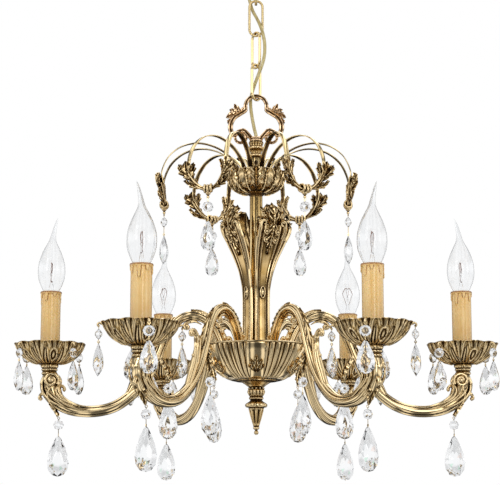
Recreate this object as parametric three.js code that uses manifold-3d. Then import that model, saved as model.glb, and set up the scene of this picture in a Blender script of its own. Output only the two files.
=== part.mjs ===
// Six-arm brass chandelier with crystal drops, hung from a ceiling hook by a short chain.
// Millimetres, +Z up. The origin is the centre of the ceiling plate's top face.
import * as THREE from 'three';
import { mergeVertices } from 'three/addons/utils/BufferGeometryUtils.js';
import Module from 'manifold-3d';

const wasm = await Module();
wasm.setup();

// ---------------------------------------------------------------- driving dimensions
const DROP = 495;               // ceiling to the tops of the candle sleeves
const GAP = 0.3;                // clearance between pieces that touch
const CHAIN_GAP = 0.6;          // clearance between one link and the next
const ARM_COUNT = 6;
const ARM_RADIUS = 264;         // candle axis to chandelier axis
const ARM_TUBE_RADIUS = 6.6;
const PAN_RADIUS = 45;
const PAN_TOP = -67.5;          // heights below are measured from the candle-sleeve tops
const PAN_BOTTOM = -93;
const PAN_FLOOR = -90.5;       // inside face of the pan, where the sleeve and holder stand
const SLEEVE_RADIUS = 12.65;
const SLEEVE_BORE = 11.4;
const HOLDER_RADIUS = 10.6;
const HOLDER_BORE = 7.4;
const CAP_RADIUS = 6.9;         // small Edison screw cap
const BULB_RADIUS = 17.5;
const BULB_TIP = 97;
const BULB_TIP_OFFSET = 7;
const PENDANT_RADIUS = 251;     // hanging point at the arm's heel to chandelier axis
const LINK_LENGTH = 51.6;
const LINK_WIDTH = 21;
const LINK_WIRE = 3.6;
const LOOP_WIRE = 5.2;
const EYE_RADIUS = 7.5;         // ceiling eye, to the middle of its wire
const EYE_WIRE_RADIUS = 2.5;
const CABLE_RADIUS = 2.2;
const UPPER_TUBE_RADIUS = 5.75;
const CENTRE_TUBE_RADIUS = 8.3;
const BOWL_FLOOR = -96.3;
const BOWL_BOTTOM = -115;
const CROWN_FLOOR = 133.6;
const CROWN_BOTTOM = 131;
const COLLAR_TOP = 198;
const COLLAR_BOTTOM = 178;
const LEAF_COUNT = 4;
const LEAF_TURN = THREE.MathUtils.degToRad(33);
const RIBBON_TURN = THREE.MathUtils.degToRad(12.5);
const LINK_TURNS = [52, -56, 0, 90];   // degrees about Z, from the loop up to the ceiling eye

// Chain heights, worked out from the loop upwards.
const LOOP_TOP = 262.7;
const linkStep = LINK_LENGTH - 2 * LINK_WIRE - CHAIN_GAP;
const firstLinkBottom = LOOP_TOP - LOOP_WIRE - CHAIN_GAP - LINK_WIRE;
const topLinkTop = firstLinkBottom + 3 * linkStep + LINK_LENGTH;
const eyeCentre = topLinkTop - LINK_WIRE - CHAIN_GAP - EYE_WIRE_RADIUS + EYE_RADIUS;

// ---------------------------------------------------------------- materials
function material(color, roughness, metalness) {
  return new THREE.MeshStandardMaterial({ color, roughness, metalness });
}
const brass = material(0xb8923f, 0.25, 1);
const paleBrass = material(0xcdb06a, 0.2, 1);
const steel = material(0x9a9a96, 0.4, 1);
const ivoryWax = material(0xd9ad68, 0.6, 0);
const clearGlass = material(0xeef2f4, 0.05, 0);
const crystal = material(0xf2f6f8, 0.03, 0);
const oliveSheath = material(0xb5a566, 0.35, 0);
const whitePlastic = material(0xe9e6dc, 0.45, 0);

// ---------------------------------------------------------------- geometry helpers
const v2 = ([x, y]) => new THREE.Vector2(x, y);
const v3 = ([x, y, z]) => new THREE.Vector3(x, y, z);

// Merges shared corners and drops triangles with no area, so that the surface is one closed skin.
function closed(geometry) {
  const bare = geometry.index ? geometry.toNonIndexed() : geometry.clone();
  bare.deleteAttribute('normal');
  bare.deleteAttribute('uv');
  const merged = mergeVertices(bare, 1e-4);
  const kept = [];
  for (let i = 0; i < merged.index.count; i += 3) {
    const [a, b, c] = [0, 1, 2].map((k) => merged.index.getX(i + k));
    if (a !== b && b !== c && c !== a) kept.push(a, b, c);
  }
  merged.setIndex(kept);
  return merged;
}

function toSolid(geometry) {
  const skin = closed(geometry);
  return new wasm.Manifold(new wasm.Mesh({
    numProp: 3,
    vertProperties: new Float32Array(skin.attributes.position.array),
    triVerts: new Uint32Array(skin.index.array),
  }));
}

function toGeometry(solid) {
  const mesh = solid.getMesh();
  const geometry = new THREE.BufferGeometry();
  geometry.setAttribute('position', new THREE.Float32BufferAttribute(mesh.vertProperties, 3));
  geometry.setIndex(Array.from(mesh.triVerts));
  return geometry;
}

function joined(...geometries) {
  return toGeometry(geometries.map(toSolid).reduce((whole, piece) => whole.add(piece)));
}

function cut(geometry, ...tools) {
  return toGeometry(tools.map(toSolid).reduce((whole, tool) => whole.subtract(tool), toSolid(geometry)));
}

// A profile of [radius, height] points turned about Z. Points run up the outside.
function turned(profile, segments) {
  return new THREE.LatheGeometry(profile.map(v2), segments).rotateX(Math.PI / 2);
}

function roundSection(radius, sides) {
  const corners = [];
  for (let i = 0; i < sides; i++) {
    const angle = (2 * Math.PI * i) / sides;
    corners.push(new THREE.Vector2(radius * Math.cos(angle), radius * Math.sin(angle)));
  }
  return new THREE.Shape(corners);
}

function swept(section, points, steps) {
  const path = new THREE.CatmullRomCurve3(points.map(v3), false, 'centripetal');
  return new THREE.ExtrudeGeometry(section, { steps, extrudePath: path });
}

// A point list in the plane of an arm or ribbon: [radius, height] to [x, 0, z].
const inPlane = (points) => points.map(([r, z]) => [r, 0, z]);

function rod(radius, low, high, sides) {
  return turned([[0, low], [radius, low], [radius, high], [0, high]], sides);
}

function pipe(outer, inner, low, high, sides) {
  return turned([[inner, low], [outer, low], [outer, high], [inner, high], [inner, low]], sides);
}

function piece(name, geometry, look) {
  const mesh = new THREE.Mesh(closed(geometry), look);
  mesh.name = name;
  return mesh;
}

// ---------------------------------------------------------------- ceiling fitting
function ceilingHook() {
  const plate = rod(22, -3, 0, 14);
  const eyeTop = eyeCentre + EYE_RADIUS - DROP;
  const stem = rod(3.2, eyeTop, -1.5, 6);
  const eye = new THREE.TorusGeometry(EYE_RADIUS, EYE_WIRE_RADIUS, 6, 14);
  eye.rotateX(Math.PI / 2).translate(0, 0, eyeCentre - DROP);
  return joined(plate, stem, eye);
}

const CABLE_HOLE_X = -14;

function canopy() {
  const shell = turned([
    [3.6, -43], [10, -42], [22, -35], [38, -24], [52, -9], [55, -1],
    [53, -1], [50, -8.5], [36.5, -22], [21, -33], [9.5, -40], [3.6, -41], [3.6, -43],
  ], 18);
  const cableHole = rod(CABLE_RADIUS + 0.6, -60, -20, 8).translate(CABLE_HOLE_X, 0, 0);
  return cut(shell, cableHole);
}

// ---------------------------------------------------------------- chain and cable
// An outline with a hole, given an eight-sided wire section and stood up in the plane of x and z.
function flatWire(outline, wire) {
  const bevel = wire * 0.29;
  const ring = new THREE.ExtrudeGeometry(outline, {
    depth: wire - 2 * bevel,
    bevelThickness: bevel,
    bevelSize: bevel,
    bevelOffset: -bevel,
    bevelSegments: 1,
    curveSegments: 5,
  });
  return ring.translate(0, 0, bevel - wire / 2).rotateX(Math.PI / 2);
}

function stadium(halfWidth, halfLength, ShapeClass) {
  const outline = new ShapeClass();
  outline.absarc(0, halfLength - halfWidth, halfWidth, 0, Math.PI, false);
  outline.absarc(0, halfWidth - halfLength, halfWidth, Math.PI, 2 * Math.PI, false);
  outline.closePath();
  return outline;
}

function chainLink() {
  const outline = stadium(LINK_WIDTH / 2, LINK_LENGTH / 2, THREE.Shape);
  outline.holes.push(stadium(LINK_WIDTH / 2 - LINK_WIRE, LINK_LENGTH / 2 - LINK_WIRE, THREE.Path));
  return flatWire(outline, LINK_WIRE);
}

// From the loop's base, behind its arch, through the lowest link, round the second, through the third
// and up to the hole in the canopy.
const CABLE_ROUTE = [
  [0, 0, 199], [0, 0, 206], [-2.5, 0.6, 217], [-5.2, 2.4, 232], [-7, 4.9, 247], [-6.9, 5.9, 258],
  [-4.6, 4.6, 268], [-1.5, 1.5, 277], [1.8, -2.6, 285], [5.6, -7.6, 294], [9, -10, 303.5],
  [11, -9.8, 313], [11.6, -8.8, 324], [10.8, -7.2, 335], [8.6, -5.6, 346], [5.9, -3.5, 355],
  [3.0, -0.5, 363], [-0.6, 2.6, 371], [-4.4, 4.5, 379], [-7.2, 4.9, 388], [-9.4, 4.4, 398],
  [-11.2, 3.4, 410], [-13.2, 1.6, 424], [-14, 0.4, 438], [CABLE_HOLE_X, 0, 452], [CABLE_HOLE_X, 0, 466],
];

function supplyCable() {
  return swept(roundSection(CABLE_RADIUS, 8), CABLE_ROUTE, 34);
}

// ---------------------------------------------------------------- hanging loop and collar
// Middle line of the right half of the loop, [x, height], from the base up to the top of the arch.
const LOOP_HALF = [
  [6, 202.6], [10.8, 208.6], [16.5, 213.6], [23, 211.6], [29, 207.6], [33, 213.5], [33.2, 222],
  [28.5, 231], [20.5, 236.6], [14, 241.4], [13.8, 248.5], [10.6, 255.4], [5.6, 259],
];

function loopHalf(side) {
  const overlap = 1.5;
  const crest = LOOP_TOP - LOOP_WIRE / 2;
  const middle = [[-overlap, 201], ...LOOP_HALF, [0, crest], [-overlap, crest]];
  return swept(roundSection(LOOP_WIRE / 2, 6), middle.map(([x, z]) => [side * x, 0, z]), 18);
}

function shoulderLeaf(side) {
  const leaf = new THREE.Shape([
    [18, 236], [30, 222], [39.5, 231], [34, 236], [29, 249], [24, 242],
  ].map(([x, z]) => new THREE.Vector2(side * x, z)));
  const plate = new THREE.ExtrudeGeometry(leaf, { depth: 3, bevelEnabled: false });
  return plate.translate(0, 0, -1.5).rotateX(Math.PI / 2);
}

function hangingLoop() {
  const base = rod(8, COLLAR_TOP + GAP, 204.5, 10);
  const bore = rod(CABLE_RADIUS + 0.8, 190, 210, 8);
  return cut(joined(loopHalf(1), loopHalf(-1), shoulderLeaf(1), shoulderLeaf(-1), base), bore);
}

function loopCollar() {
  const bore = CABLE_RADIUS + 0.8;
  const socket = UPPER_TUBE_RADIUS + GAP;
  return turned([
    [socket, COLLAR_BOTTOM], [8, COLLAR_BOTTOM], [8.5, 180], [7.2, 183], [8, 186], [11, 189], [9, 192],
    [9.5, COLLAR_TOP], [bore, COLLAR_TOP], [bore, 186], [socket, 186], [socket, COLLAR_BOTTOM],
  ], 12);
}

// ---------------------------------------------------------------- crown
function crownDish() {
  const bore = UPPER_TUBE_RADIUS + GAP;
  return turned([
    [bore, CROWN_BOTTOM], [21, CROWN_BOTTOM], [30, 137], [36, 148], [38, 161], [36.2, 161.4],
    [33.8, 149], [28.2, 139.4], [20.4, CROWN_FLOOR], [bore, CROWN_FLOOR], [bore, CROWN_BOTTOM],
  ], 20);
}

const RIBBON_ROUTE = [
  [17, CROWN_FLOOR + GAP], [18.5, 150], [27, 168], [43, 183], [62, 191], [80, 192.5], [99, 187],
  [114, 175], [122, 161], [125, 149], [123, 138],
];
const SWAG_ROUTE = [
  [125, -30, 149], [122, -25.5, 134], [120, -14.5, 119], [119.5, 0, 113.5],
  [120, 14.5, 119], [122, 25.5, 134], [125, 30, 149],
];

function ribbon(turn) {
  const flat = new THREE.Shape([[-2.8, -0.6], [2.8, -0.6], [2.8, 0.6], [-2.8, 0.6]].map(v2));
  return swept(flat, inPlane(RIBBON_ROUTE), 13).rotateZ(turn);
}

function crownSwag() {
  const swag = swept(roundSection(3.2, 6), SWAG_ROUTE, 10);
  return joined(ribbon(RIBBON_TURN), ribbon(-RIBBON_TURN), swag);
}

// ---------------------------------------------------------------- column
// Outer face of a column leaf, [radius, height], from the bowl floor to the curled tip.
const LEAF_FACE = [
  [16, BOWL_FLOOR + GAP], [14.6, -60], [14.2, -20], [14, 5], [17.5, 28], [25, 48], [34, 66],
  [40, 80], [41, 92], [37, 104], [31, 109],
];
const LEAF_HALF_WIDTHS = [
  [BOWL_FLOOR, 10.2], [5, 9.6], [28, 12.6], [48, 17], [66, 20.5], [84, 21.5], [97, 17], [110, 7],
];
const LEAF_THICKNESS = 2.6;
const LEAF_BOW = 0.1;

function leafHalfWidth(z) {
  for (let i = 1; i < LEAF_HALF_WIDTHS.length; i++) {
    const [z0, w0] = LEAF_HALF_WIDTHS[i - 1];
    const [z1, w1] = LEAF_HALF_WIDTHS[i];
    if (z <= z1) return THREE.MathUtils.mapLinear(Math.max(z, z0), z0, z1, w0, w1);
  }
  return LEAF_HALF_WIDTHS.at(-1)[1];
}

// A strip with the face's outline, two units wide, widened to the leaf's width and bowed backwards.
function columnLeaf() {
  const back = LEAF_FACE.map(([r, z]) => [r - LEAF_THICKNESS, z]).reverse();
  const outline = new THREE.Shape([...LEAF_FACE, ...back].map(v2));
  const strip = new THREE.ExtrudeGeometry(outline, { depth: 2, steps: 4, bevelEnabled: false });
  strip.translate(0, 0, -1).rotateX(Math.PI / 2);
  const corners = strip.attributes.position;
  for (let i = 0; i < corners.count; i++) {
    const across = corners.getY(i);
    const halfWidth = leafHalfWidth(corners.getZ(i));
    corners.setX(i, corners.getX(i) - LEAF_BOW * halfWidth * across * across);
    corners.setY(i, across * halfWidth);
  }
  return strip;
}

// ---------------------------------------------------------------- bowl and finial
function bowl() {
  const bore = CENTRE_TUBE_RADIUS + GAP;
  return turned([
    [31, BOWL_BOTTOM], [36, BOWL_BOTTOM], [49, -107], [59, -95], [66, -81], [69.5, -69.5], [66.5, -69.5],
    [62.5, -81], [56, BOWL_FLOOR], [bore, BOWL_FLOOR], [bore, -101], [48, -101], [31, BOWL_BOTTOM],
  ], 24);
}

function finial() {
  return turned([
    [0, -183], [2.6, -182], [3.6, -178.5], [2.2, -175], [4, -170], [9, -156], [10, -148.5], [14, -146.5],
    [14, -141], [8.5, -139], [8, -131], [10.5, -122], [22, -119], [35.5, BOWL_BOTTOM - GAP],
    [5, BOWL_BOTTOM - GAP], [5, -104], [0, -104],
  ], 12);
}

// ---------------------------------------------------------------- arms and candles
const ARM_ROUTE = [
  [40, BOWL_FLOOR + GAP], [40.5, -83], [44.5, -66], [53.5, -47.5], [67.5, -34.8], [85, -30.8],
  [101, -38], [115.5, -58], [126.5, -84], [139.5, -110], [157, -131], [181, -147.5], [209, -153.5],
  [235, -150], [253, -139.5], [261.5, -125], [ARM_RADIUS, -111],
];

// Middle line of the curl that rises from the low bend, [radius, height].
const CURL_ROUTE = [[158, -128], [149, -105], [144.5, -82], [146, -71], [151.5, -66], [156, -69]];

function arm() {
  const tube = swept(roundSection(ARM_TUBE_RADIUS, 6), inPlane(ARM_ROUTE), 25);
  const scroll = new THREE.SphereGeometry(12, 8, 5).scale(1.05, 0.72, 1.1).translate(260, 0, -118);
  const neck = turned([
    [0, -118], [8, -116], [9, -105], [11, -103.5], [11, -98],
    [11, PAN_BOTTOM - GAP], [0, PAN_BOTTOM - GAP],
  ], 8).translate(ARM_RADIUS, 0, 0);
  const heel = swept(roundSection(2.2, 4), [[246, 0, -143], [250, 0, -152], [PENDANT_RADIUS, 0, -159.5]], 2);
  const underSpur = swept(roundSection(2.4, 4), [[121, 0, -84], [114, 0, -94], [112, 0, -101]], 2);
  const curl = swept(roundSection(2.6, 5), inPlane(CURL_ROUTE), 8);
  return joined(tube, scroll, neck, heel, underSpur, curl);
}

// A pan with four small hooks on its rim, between the directions along and across its arm.
function dripPan() {
  const bore = 5.3;
  const pan = turned([
    [bore, PAN_BOTTOM], [11.5, PAN_BOTTOM], [26, -88.5], [38, -79.5], [PAN_RADIUS, PAN_TOP],
    [42.8, PAN_TOP], [36.4, -78], [25, -86.4], [14.5, PAN_FLOOR], [bore, PAN_FLOOR],
    [bore, PAN_BOTTOM],
  ], 18);
  const hook = swept(roundSection(1.4, 4), inPlane([[41.5, -71.5], [46, -70.2], [49, -71.8]]), 3);
  const hooks = [45, 135, 225, 315].map((turn) => hook.clone().rotateZ(THREE.MathUtils.degToRad(turn)));
  return joined(pan, ...hooks);
}

function candleSleeve() {
  return turned([
    [SLEEVE_BORE, PAN_FLOOR + GAP], [SLEEVE_RADIUS, PAN_FLOOR + GAP], [SLEEVE_RADIUS, -14],
    [13.8, -8], [13.8, 0], [SLEEVE_BORE, 0], [SLEEVE_BORE, PAN_FLOOR + GAP],
  ], 12);
}

function lampholder() {
  return turned([
    [0, -92.8], [4.9, -92.8], [4.9, PAN_FLOOR + GAP], [HOLDER_RADIUS, PAN_FLOOR + GAP], [HOLDER_RADIUS, -2],
    [HOLDER_BORE, -2], [HOLDER_BORE, -27], [0, -27],
  ], 10);
}

// A flame-shaped bulb whose drawn-out tip leans sideways.
function bulb() {
  const shape = turned([
    [0, -26], [4, -25.6], [CAP_RADIUS, -23], [CAP_RADIUS, -1.6], [9.6, 0.2], [13.6, 8], [16.6, 17],
    [BULB_RADIUS, 26], [16.6, 37], [13, 49], [8.4, 59], [4.6, 67], [3, 77], [1.8, 88], [0, BULB_TIP],
  ], 8);
  const corners = shape.attributes.position;
  const bendStart = 55;
  for (let i = 0; i < corners.count; i++) {
    const rise = Math.max(0, corners.getZ(i) - bendStart) / (BULB_TIP - bendStart);
    corners.setX(i, corners.getX(i) + BULB_TIP_OFFSET * rise * rise);
  }
  return shape;
}

// A faceted bead and a flat pear-shaped drop on one wire, wide along x and thin along y.
function crystalString(top, beadMiddle, dropTop, dropBottom, dropHalfWidth) {
  const length = dropTop - dropBottom;
  const wire = 1.2;
  const body = turned([
    [0, dropBottom], [0.4 * dropHalfWidth, dropBottom + 0.03 * length],
    [0.86 * dropHalfWidth, dropBottom + 0.16 * length], [dropHalfWidth, dropBottom + 0.34 * length],
    [0.74 * dropHalfWidth, dropBottom + 0.66 * length], [wire, dropTop], [wire, beadMiddle - 6.5],
    [7, beadMiddle - 2.5], [7, beadMiddle + 2.5], [wire, beadMiddle + 6.5], [wire, top], [0, top],
  ], 8);
  return body.scale(1, 0.45, 1);
}

// Which way each bulb's tip leans, in degrees about its own axis.
const TIP_TURNS = [160, 100, 40, 0, 195, 340];

function armSet(index) {
  const number = index + 1;
  const set = new THREE.Group();
  set.rotation.z = (2 * Math.PI * index) / ARM_COUNT;
  set.add(piece(`arm_${number}`, arm(), brass));
  const pendant = crystalString(-160, -173, -186, -237, 13.5).translate(PENDANT_RADIUS, 0, 0);
  set.add(piece(`arm_pendant_${number}`, pendant, crystal));
  const candle = new THREE.Group();
  candle.position.x = ARM_RADIUS;
  candle.add(piece(`drip_pan_${number}`, dripPan(), brass));
  candle.add(piece(`candle_sleeve_${number}`, candleSleeve(), ivoryWax));
  candle.add(piece(`lampholder_${number}`, lampholder(), whitePlastic));
  const lamp = piece(`bulb_${number}`, bulb(), clearGlass);
  lamp.rotation.z = THREE.MathUtils.degToRad(TIP_TURNS[index]) - set.rotation.z;
  candle.add(lamp);
  set.add(candle);
  return set;
}

// ---------------------------------------------------------------- assembly
const chandelier = new THREE.Group();
chandelier.add(piece('ceiling_hook', ceilingHook(), steel));
chandelier.add(piece('canopy', canopy(), brass));

// Everything below hangs in this group, whose zero height is the tops of the candle sleeves.
const fixture = new THREE.Group();
fixture.position.z = -DROP;
chandelier.add(fixture);

LINK_TURNS.forEach((degrees, i) => {
  const link = piece(`chain_link_${LINK_TURNS.length - i}`, chainLink(), paleBrass);
  link.position.z = firstLinkBottom + LINK_LENGTH / 2 + i * linkStep;
  link.rotation.z = THREE.MathUtils.degToRad(degrees);
  fixture.add(link);
});
fixture.add(piece('supply_cable', supplyCable(), oliveSheath));
fixture.add(piece('hanging_loop', hangingLoop(), brass));
fixture.add(piece('loop_collar', loopCollar(), brass));
fixture.add(piece('upper_tube', pipe(UPPER_TUBE_RADIUS, 3.5, CROWN_BOTTOM, 186 - GAP, 14), paleBrass));
fixture.add(piece('crown_dish', crownDish(), brass));
fixture.add(piece('centre_tube', pipe(CENTRE_TUBE_RADIUS, 5.4, -114, CROWN_BOTTOM - GAP, 16), paleBrass));
fixture.add(piece('bowl', bowl(), brass));
fixture.add(piece('finial', finial(), brass));

for (let i = 0; i < LEAF_COUNT; i++) {
  const leaf = piece(`column_leaf_${i + 1}`, columnLeaf(), brass);
  leaf.rotation.z = LEAF_TURN + (2 * Math.PI * i) / LEAF_COUNT;
  fixture.add(leaf);
}

for (let i = 0; i < ARM_COUNT; i++) {
  const swag = piece(`crown_swag_${i + 1}`, crownSwag(), brass);
  swag.rotation.z = (2 * Math.PI * i) / ARM_COUNT;
  fixture.add(swag);
  fixture.add(armSet(i));
}

export default chandelier;
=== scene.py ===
"""A six-arm brass chandelier with crystal drops: its looks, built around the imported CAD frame.

Shapes are written in millimetres, with heights measured from the tops of the candle sleeves,
as the CAD source does. Everything placed in the scene is in metres in the row frame.
"""
import math
import random

import bmesh
import bpy
import numpy as np
from mathutils import Matrix, Vector


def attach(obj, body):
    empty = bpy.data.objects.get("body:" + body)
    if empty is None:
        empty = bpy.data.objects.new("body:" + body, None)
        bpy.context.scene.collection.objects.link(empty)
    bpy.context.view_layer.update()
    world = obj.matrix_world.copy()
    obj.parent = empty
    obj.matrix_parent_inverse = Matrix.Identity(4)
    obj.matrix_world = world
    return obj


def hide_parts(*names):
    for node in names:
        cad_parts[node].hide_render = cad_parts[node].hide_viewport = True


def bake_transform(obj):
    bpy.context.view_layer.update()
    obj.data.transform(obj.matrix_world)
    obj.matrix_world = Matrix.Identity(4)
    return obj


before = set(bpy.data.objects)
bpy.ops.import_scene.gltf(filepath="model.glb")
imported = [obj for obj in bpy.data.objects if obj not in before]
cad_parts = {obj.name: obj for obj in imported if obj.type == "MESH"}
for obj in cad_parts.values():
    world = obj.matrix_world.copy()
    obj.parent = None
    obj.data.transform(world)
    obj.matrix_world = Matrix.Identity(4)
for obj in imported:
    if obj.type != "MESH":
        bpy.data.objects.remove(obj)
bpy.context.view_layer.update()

MM = 0.001
DROP = 495.0            # ceiling to the tops of the candle sleeves
ARM_COUNT = 6
ARM_RADIUS = 264.0
ARM_ANGLES = [360.0 / ARM_COUNT * i for i in range(ARM_COUNT)]
PAN_HOOK_ANGLES = (45, 135, 225, 315)       # from the arm's own direction


# ---------------------------------------------------------------- lines
def respaced(line, count):
    """The same line with `count` evenly spaced points."""
    steps = np.linalg.norm(np.diff(line, axis=0), axis=1)
    along = np.concatenate([[0], np.cumsum(steps)])
    wanted = np.linspace(0, along[-1], count)
    return np.stack([np.interp(wanted, along, line[:, k]) for k in range(line.shape[1])], 1)


def smooth_line(points, count):
    """`count` points, evenly spaced by length, on a centripetal Catmull-Rom curve."""
    knots = np.array(points, float)
    knots = np.vstack([2 * knots[0] - knots[1], knots, 2 * knots[-1] - knots[-2]])
    dense = []
    for a, b, c, d in zip(knots, knots[1:], knots[2:], knots[3:]):
        t1 = np.linalg.norm(b - a) ** 0.5
        t2 = t1 + np.linalg.norm(c - b) ** 0.5
        t3 = t2 + np.linalg.norm(d - c) ** 0.5
        t = np.linspace(t1, t2, 16, endpoint=False)[:, None]
        ab = (t1 - t) / t1 * a + t / t1 * b
        bc = (t2 - t) / (t2 - t1) * b + (t - t1) / (t2 - t1) * c
        cd = (t3 - t) / (t3 - t2) * c + (t - t2) / (t3 - t2) * d
        abc = (t2 - t) / t2 * ab + t / t2 * bc
        bcd = (t3 - t) / (t3 - t1) * bc + (t - t1) / (t3 - t1) * cd
        dense.append((t2 - t) / (t2 - t1) * abc + (t - t1) / (t2 - t1) * bcd)
    dense.append(knots[-2][None])
    return respaced(np.vstack(dense), count)


def flat_line(points, count):
    """A smooth line through [radius, height] points in the plane of an arm, in 3-D."""
    return smooth_line([(r, 0.0, z) for r, z in points], count)


def full_turn(count):
    """Evenly spaced angles around a circle."""
    return np.linspace(0, 2 * math.pi, count, endpoint=False)


def arc(centre, radius, count, start=0.0, end=360.0):
    """Points on part of a circle in the plane of x and z. With a radius for each point, a spiral."""
    angle = np.radians(np.linspace(start, end, count))
    x, z = centre
    return np.stack([x + radius * np.cos(angle), np.zeros(count), z + radius * np.sin(angle)], 1)


def spiral(centre, first_radius, last_radius, turns, first_angle, count):
    radius = np.linspace(first_radius, last_radius, count)
    return arc(centre, radius, count, first_angle, first_angle + 360 * turns)


def tangents_of(line):
    tangents = np.gradient(line, axis=0)
    return tangents / np.linalg.norm(tangents, axis=1)[:, None]


def between(t, stops):
    """The value at t of a line through (t, value) stops."""
    return np.interp(t, [s[0] for s in stops], [s[1] for s in stops])


def bump_at(x, centre, width):
    """A smooth bump of height 1 about a centre."""
    return np.exp(-((x - centre) / width) ** 2)


# ---------------------------------------------------------------- rings that a skin is drawn over
LEAST_RADIUS = 0.02     # of a turned ring, where its profile meets the axis
LOBE_PEAK = 0.7         # where along a lobe of a leaf its point lies
LOBE_SWEEP = 0.4        # how far a leaf's edges are carried towards its tip, as a share of its width
BACK_SHARE = 0.6        # of a leaf's relief that shows on its back


def ellipse(half_side, half_up, count):
    """A closed oval section of (side, up) points."""
    angle = full_turn(count)
    return np.stack([half_side * np.cos(angle), half_up * np.sin(angle)], 1)


def swept(line, section, sizes=1.0, up=(0, 1, 0), twist=0.0, closed=False):
    """Rings of a section carried along a line. Sizes scale it at each point, evenly or by (side, up)."""
    line = np.asarray(line, float)
    count = len(line)
    if closed:
        tangents = np.roll(line, -1, 0) - np.roll(line, 1, 0)
        tangents /= np.linalg.norm(tangents, axis=1)[:, None]
    else:
        tangents = tangents_of(line)
    sizes = np.asarray(sizes, float)
    if sizes.ndim < 2:
        sizes = np.stack([np.broadcast_to(sizes, (count,))] * 2, 1)
    direction = np.array(up, float)
    rings = []
    for i in range(count):
        direction = direction - tangents[i] * (direction @ tangents[i])
        direction /= np.linalg.norm(direction)
        side = np.cross(tangents[i], direction)
        turn = twist * i / (count if closed else count - 1)
        u = section[:, 0] * math.cos(turn) - section[:, 1] * math.sin(turn)
        v = section[:, 0] * math.sin(turn) + section[:, 1] * math.cos(turn)
        rings.append(line[i] + np.outer(u * sizes[i][0], side) + np.outer(v * sizes[i][1], direction))
    return np.array(rings)


def ring(radius, height, angle):
    """Points around the vertical. Radius and height are one number or one for each angle."""
    return np.stack([radius * np.cos(angle), radius * np.sin(angle), height + 0 * angle], 1)


def turned(profile, segments, ripple=None):
    """Rings of [radius, height] points turned about the vertical. Ripple adds to the radius."""
    angle = full_turn(segments)
    rings = []
    for radius, height in profile:
        r = max(radius, LEAST_RADIUS)
        if ripple is not None:
            r = np.maximum(r + ripple(angle, radius, height), LEAST_RADIUS)
        rings.append(ring(r, height, angle))
    return np.array(rings)


def two_faces(centre, height, normal, thickness):
    """One ring of a thin leaf: a relief on the front, and a shallower one on the back."""
    front = centre + np.outer(height + thickness / 2, normal)
    back = centre + np.outer(height * BACK_SHARE - thickness / 2, normal)
    return np.vstack([front, back[::-1]])


def shield_rings(spine, half_widths):
    """Rings of a long plain shield across y: a shallow polished channel between rounded rims."""
    side = np.array([0.0, 1.0, 0.0])
    s = np.linspace(-1, 1, 37)
    height = 2.2 * (bump_at(abs(s), 0.87, 0.12) + 0.4 * bump_at(abs(s), 0.56, 0.07)) - 1.2 * s * s
    rings = []
    for point, tangent, t in zip(spine, tangents_of(spine), np.linspace(0, 1, len(spine))):
        centre = point + np.outer(s * between(t, half_widths), side)
        rings.append(two_faces(centre, height, np.cross(side, tangent), 2.0))
    return np.array(rings)


def leaf_rings(spine, half_widths, across=(0, 1, 0), lobes=5, notch=0.5, rib=0.8, vein=0.7, cup=0.0,
               thickness=1.6, columns=11):
    """Rings of a closed acanthus leaf: pointed lobes, a midrib, and veins that run out to the notches.

    Half widths are (t, width) stops along the spine. Cup bends the edges back by that many
    millimetres."""
    side = np.array(across, float)
    s = np.linspace(-1, 1, columns)
    rings = []
    for i, tangent in enumerate(tangents_of(spine)):
        t = i / (len(spine) - 1)
        normal = np.cross(side, tangent)
        normal /= np.linalg.norm(normal)
        phase = (lobes * t) % 1.0
        edge = min(phase / LOBE_PEAK, (1 - phase) / (1 - LOBE_PEAK))
        width = between(t, half_widths) * (1 - notch * (1 - edge) ** 1.3)
        wave = abs(np.sin(math.pi * (lobes * t + 0.5 * (1 - abs(s)))))
        height = rib * bump_at(s, 0, 0.16) - cup * s * s
        height = height - vein * (1 - wave) ** 2 * np.minimum(1, abs(s) * 3)
        fade = min(1.0, (1 - t) / 0.15)
        centre = spine[i] + np.outer(s * width, side)
        centre = centre + np.outer(LOBE_SWEEP * fade * width * abs(s) ** 1.5, tangent)
        rings.append(two_faces(centre, height, normal, thickness))
    return np.array(rings)


# ---------------------------------------------------------------- meshes and pieces
HOLLOW_REACH = 14           # rounds of smoothing that a hollow is measured against
HOLLOW_DEPTH = 0.30 * MM    # how far below its surroundings a corner lies to be fully dark
BROAD_SHARE = 0.7           # how much of a broad curve counts as level
MERGE_GAP = 2e-6
SHARP_ANGLE = 50            # degrees


def relaxed(values, first, second):
    """Columns of values on corners, evened out along the edges between first and second."""
    count = len(values)
    share = np.maximum(np.bincount(first, minlength=count) + np.bincount(second, minlength=count), 1)
    for _ in range(HOLLOW_REACH):
        total = np.stack([
            np.bincount(first, column[second], count) + np.bincount(second, column[first], count)
            for column in values.T
        ], 1)
        values = 0.5 * values + 0.5 * total / share[:, None]
    return values


def mark_hollows(data):
    """Stores on each corner how far it lies below its surroundings: 0.5 level, 1 deep, 0 proud."""
    count = len(data.vertices)
    places = np.empty(count * 3)
    normals = np.empty(count * 3)
    data.vertices.foreach_get("co", places)
    data.vertices.foreach_get("normal", normals)
    places = places.reshape(-1, 3)
    ends = np.empty(len(data.edges) * 2, int)
    data.edges.foreach_get("vertices", ends)
    first, second = ends.reshape(-1, 2).T
    below = ((relaxed(places, first, second) - places) * normals.reshape(-1, 3)).sum(1)[:, None]
    below = (below - BROAD_SHARE * relaxed(below, first, second))[:, 0]
    layer = data.attributes.new("hollow", "FLOAT", "POINT")
    layer.data.foreach_set("value", np.clip(0.5 + 0.5 * below / HOLLOW_DEPTH, 0, 1))


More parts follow.
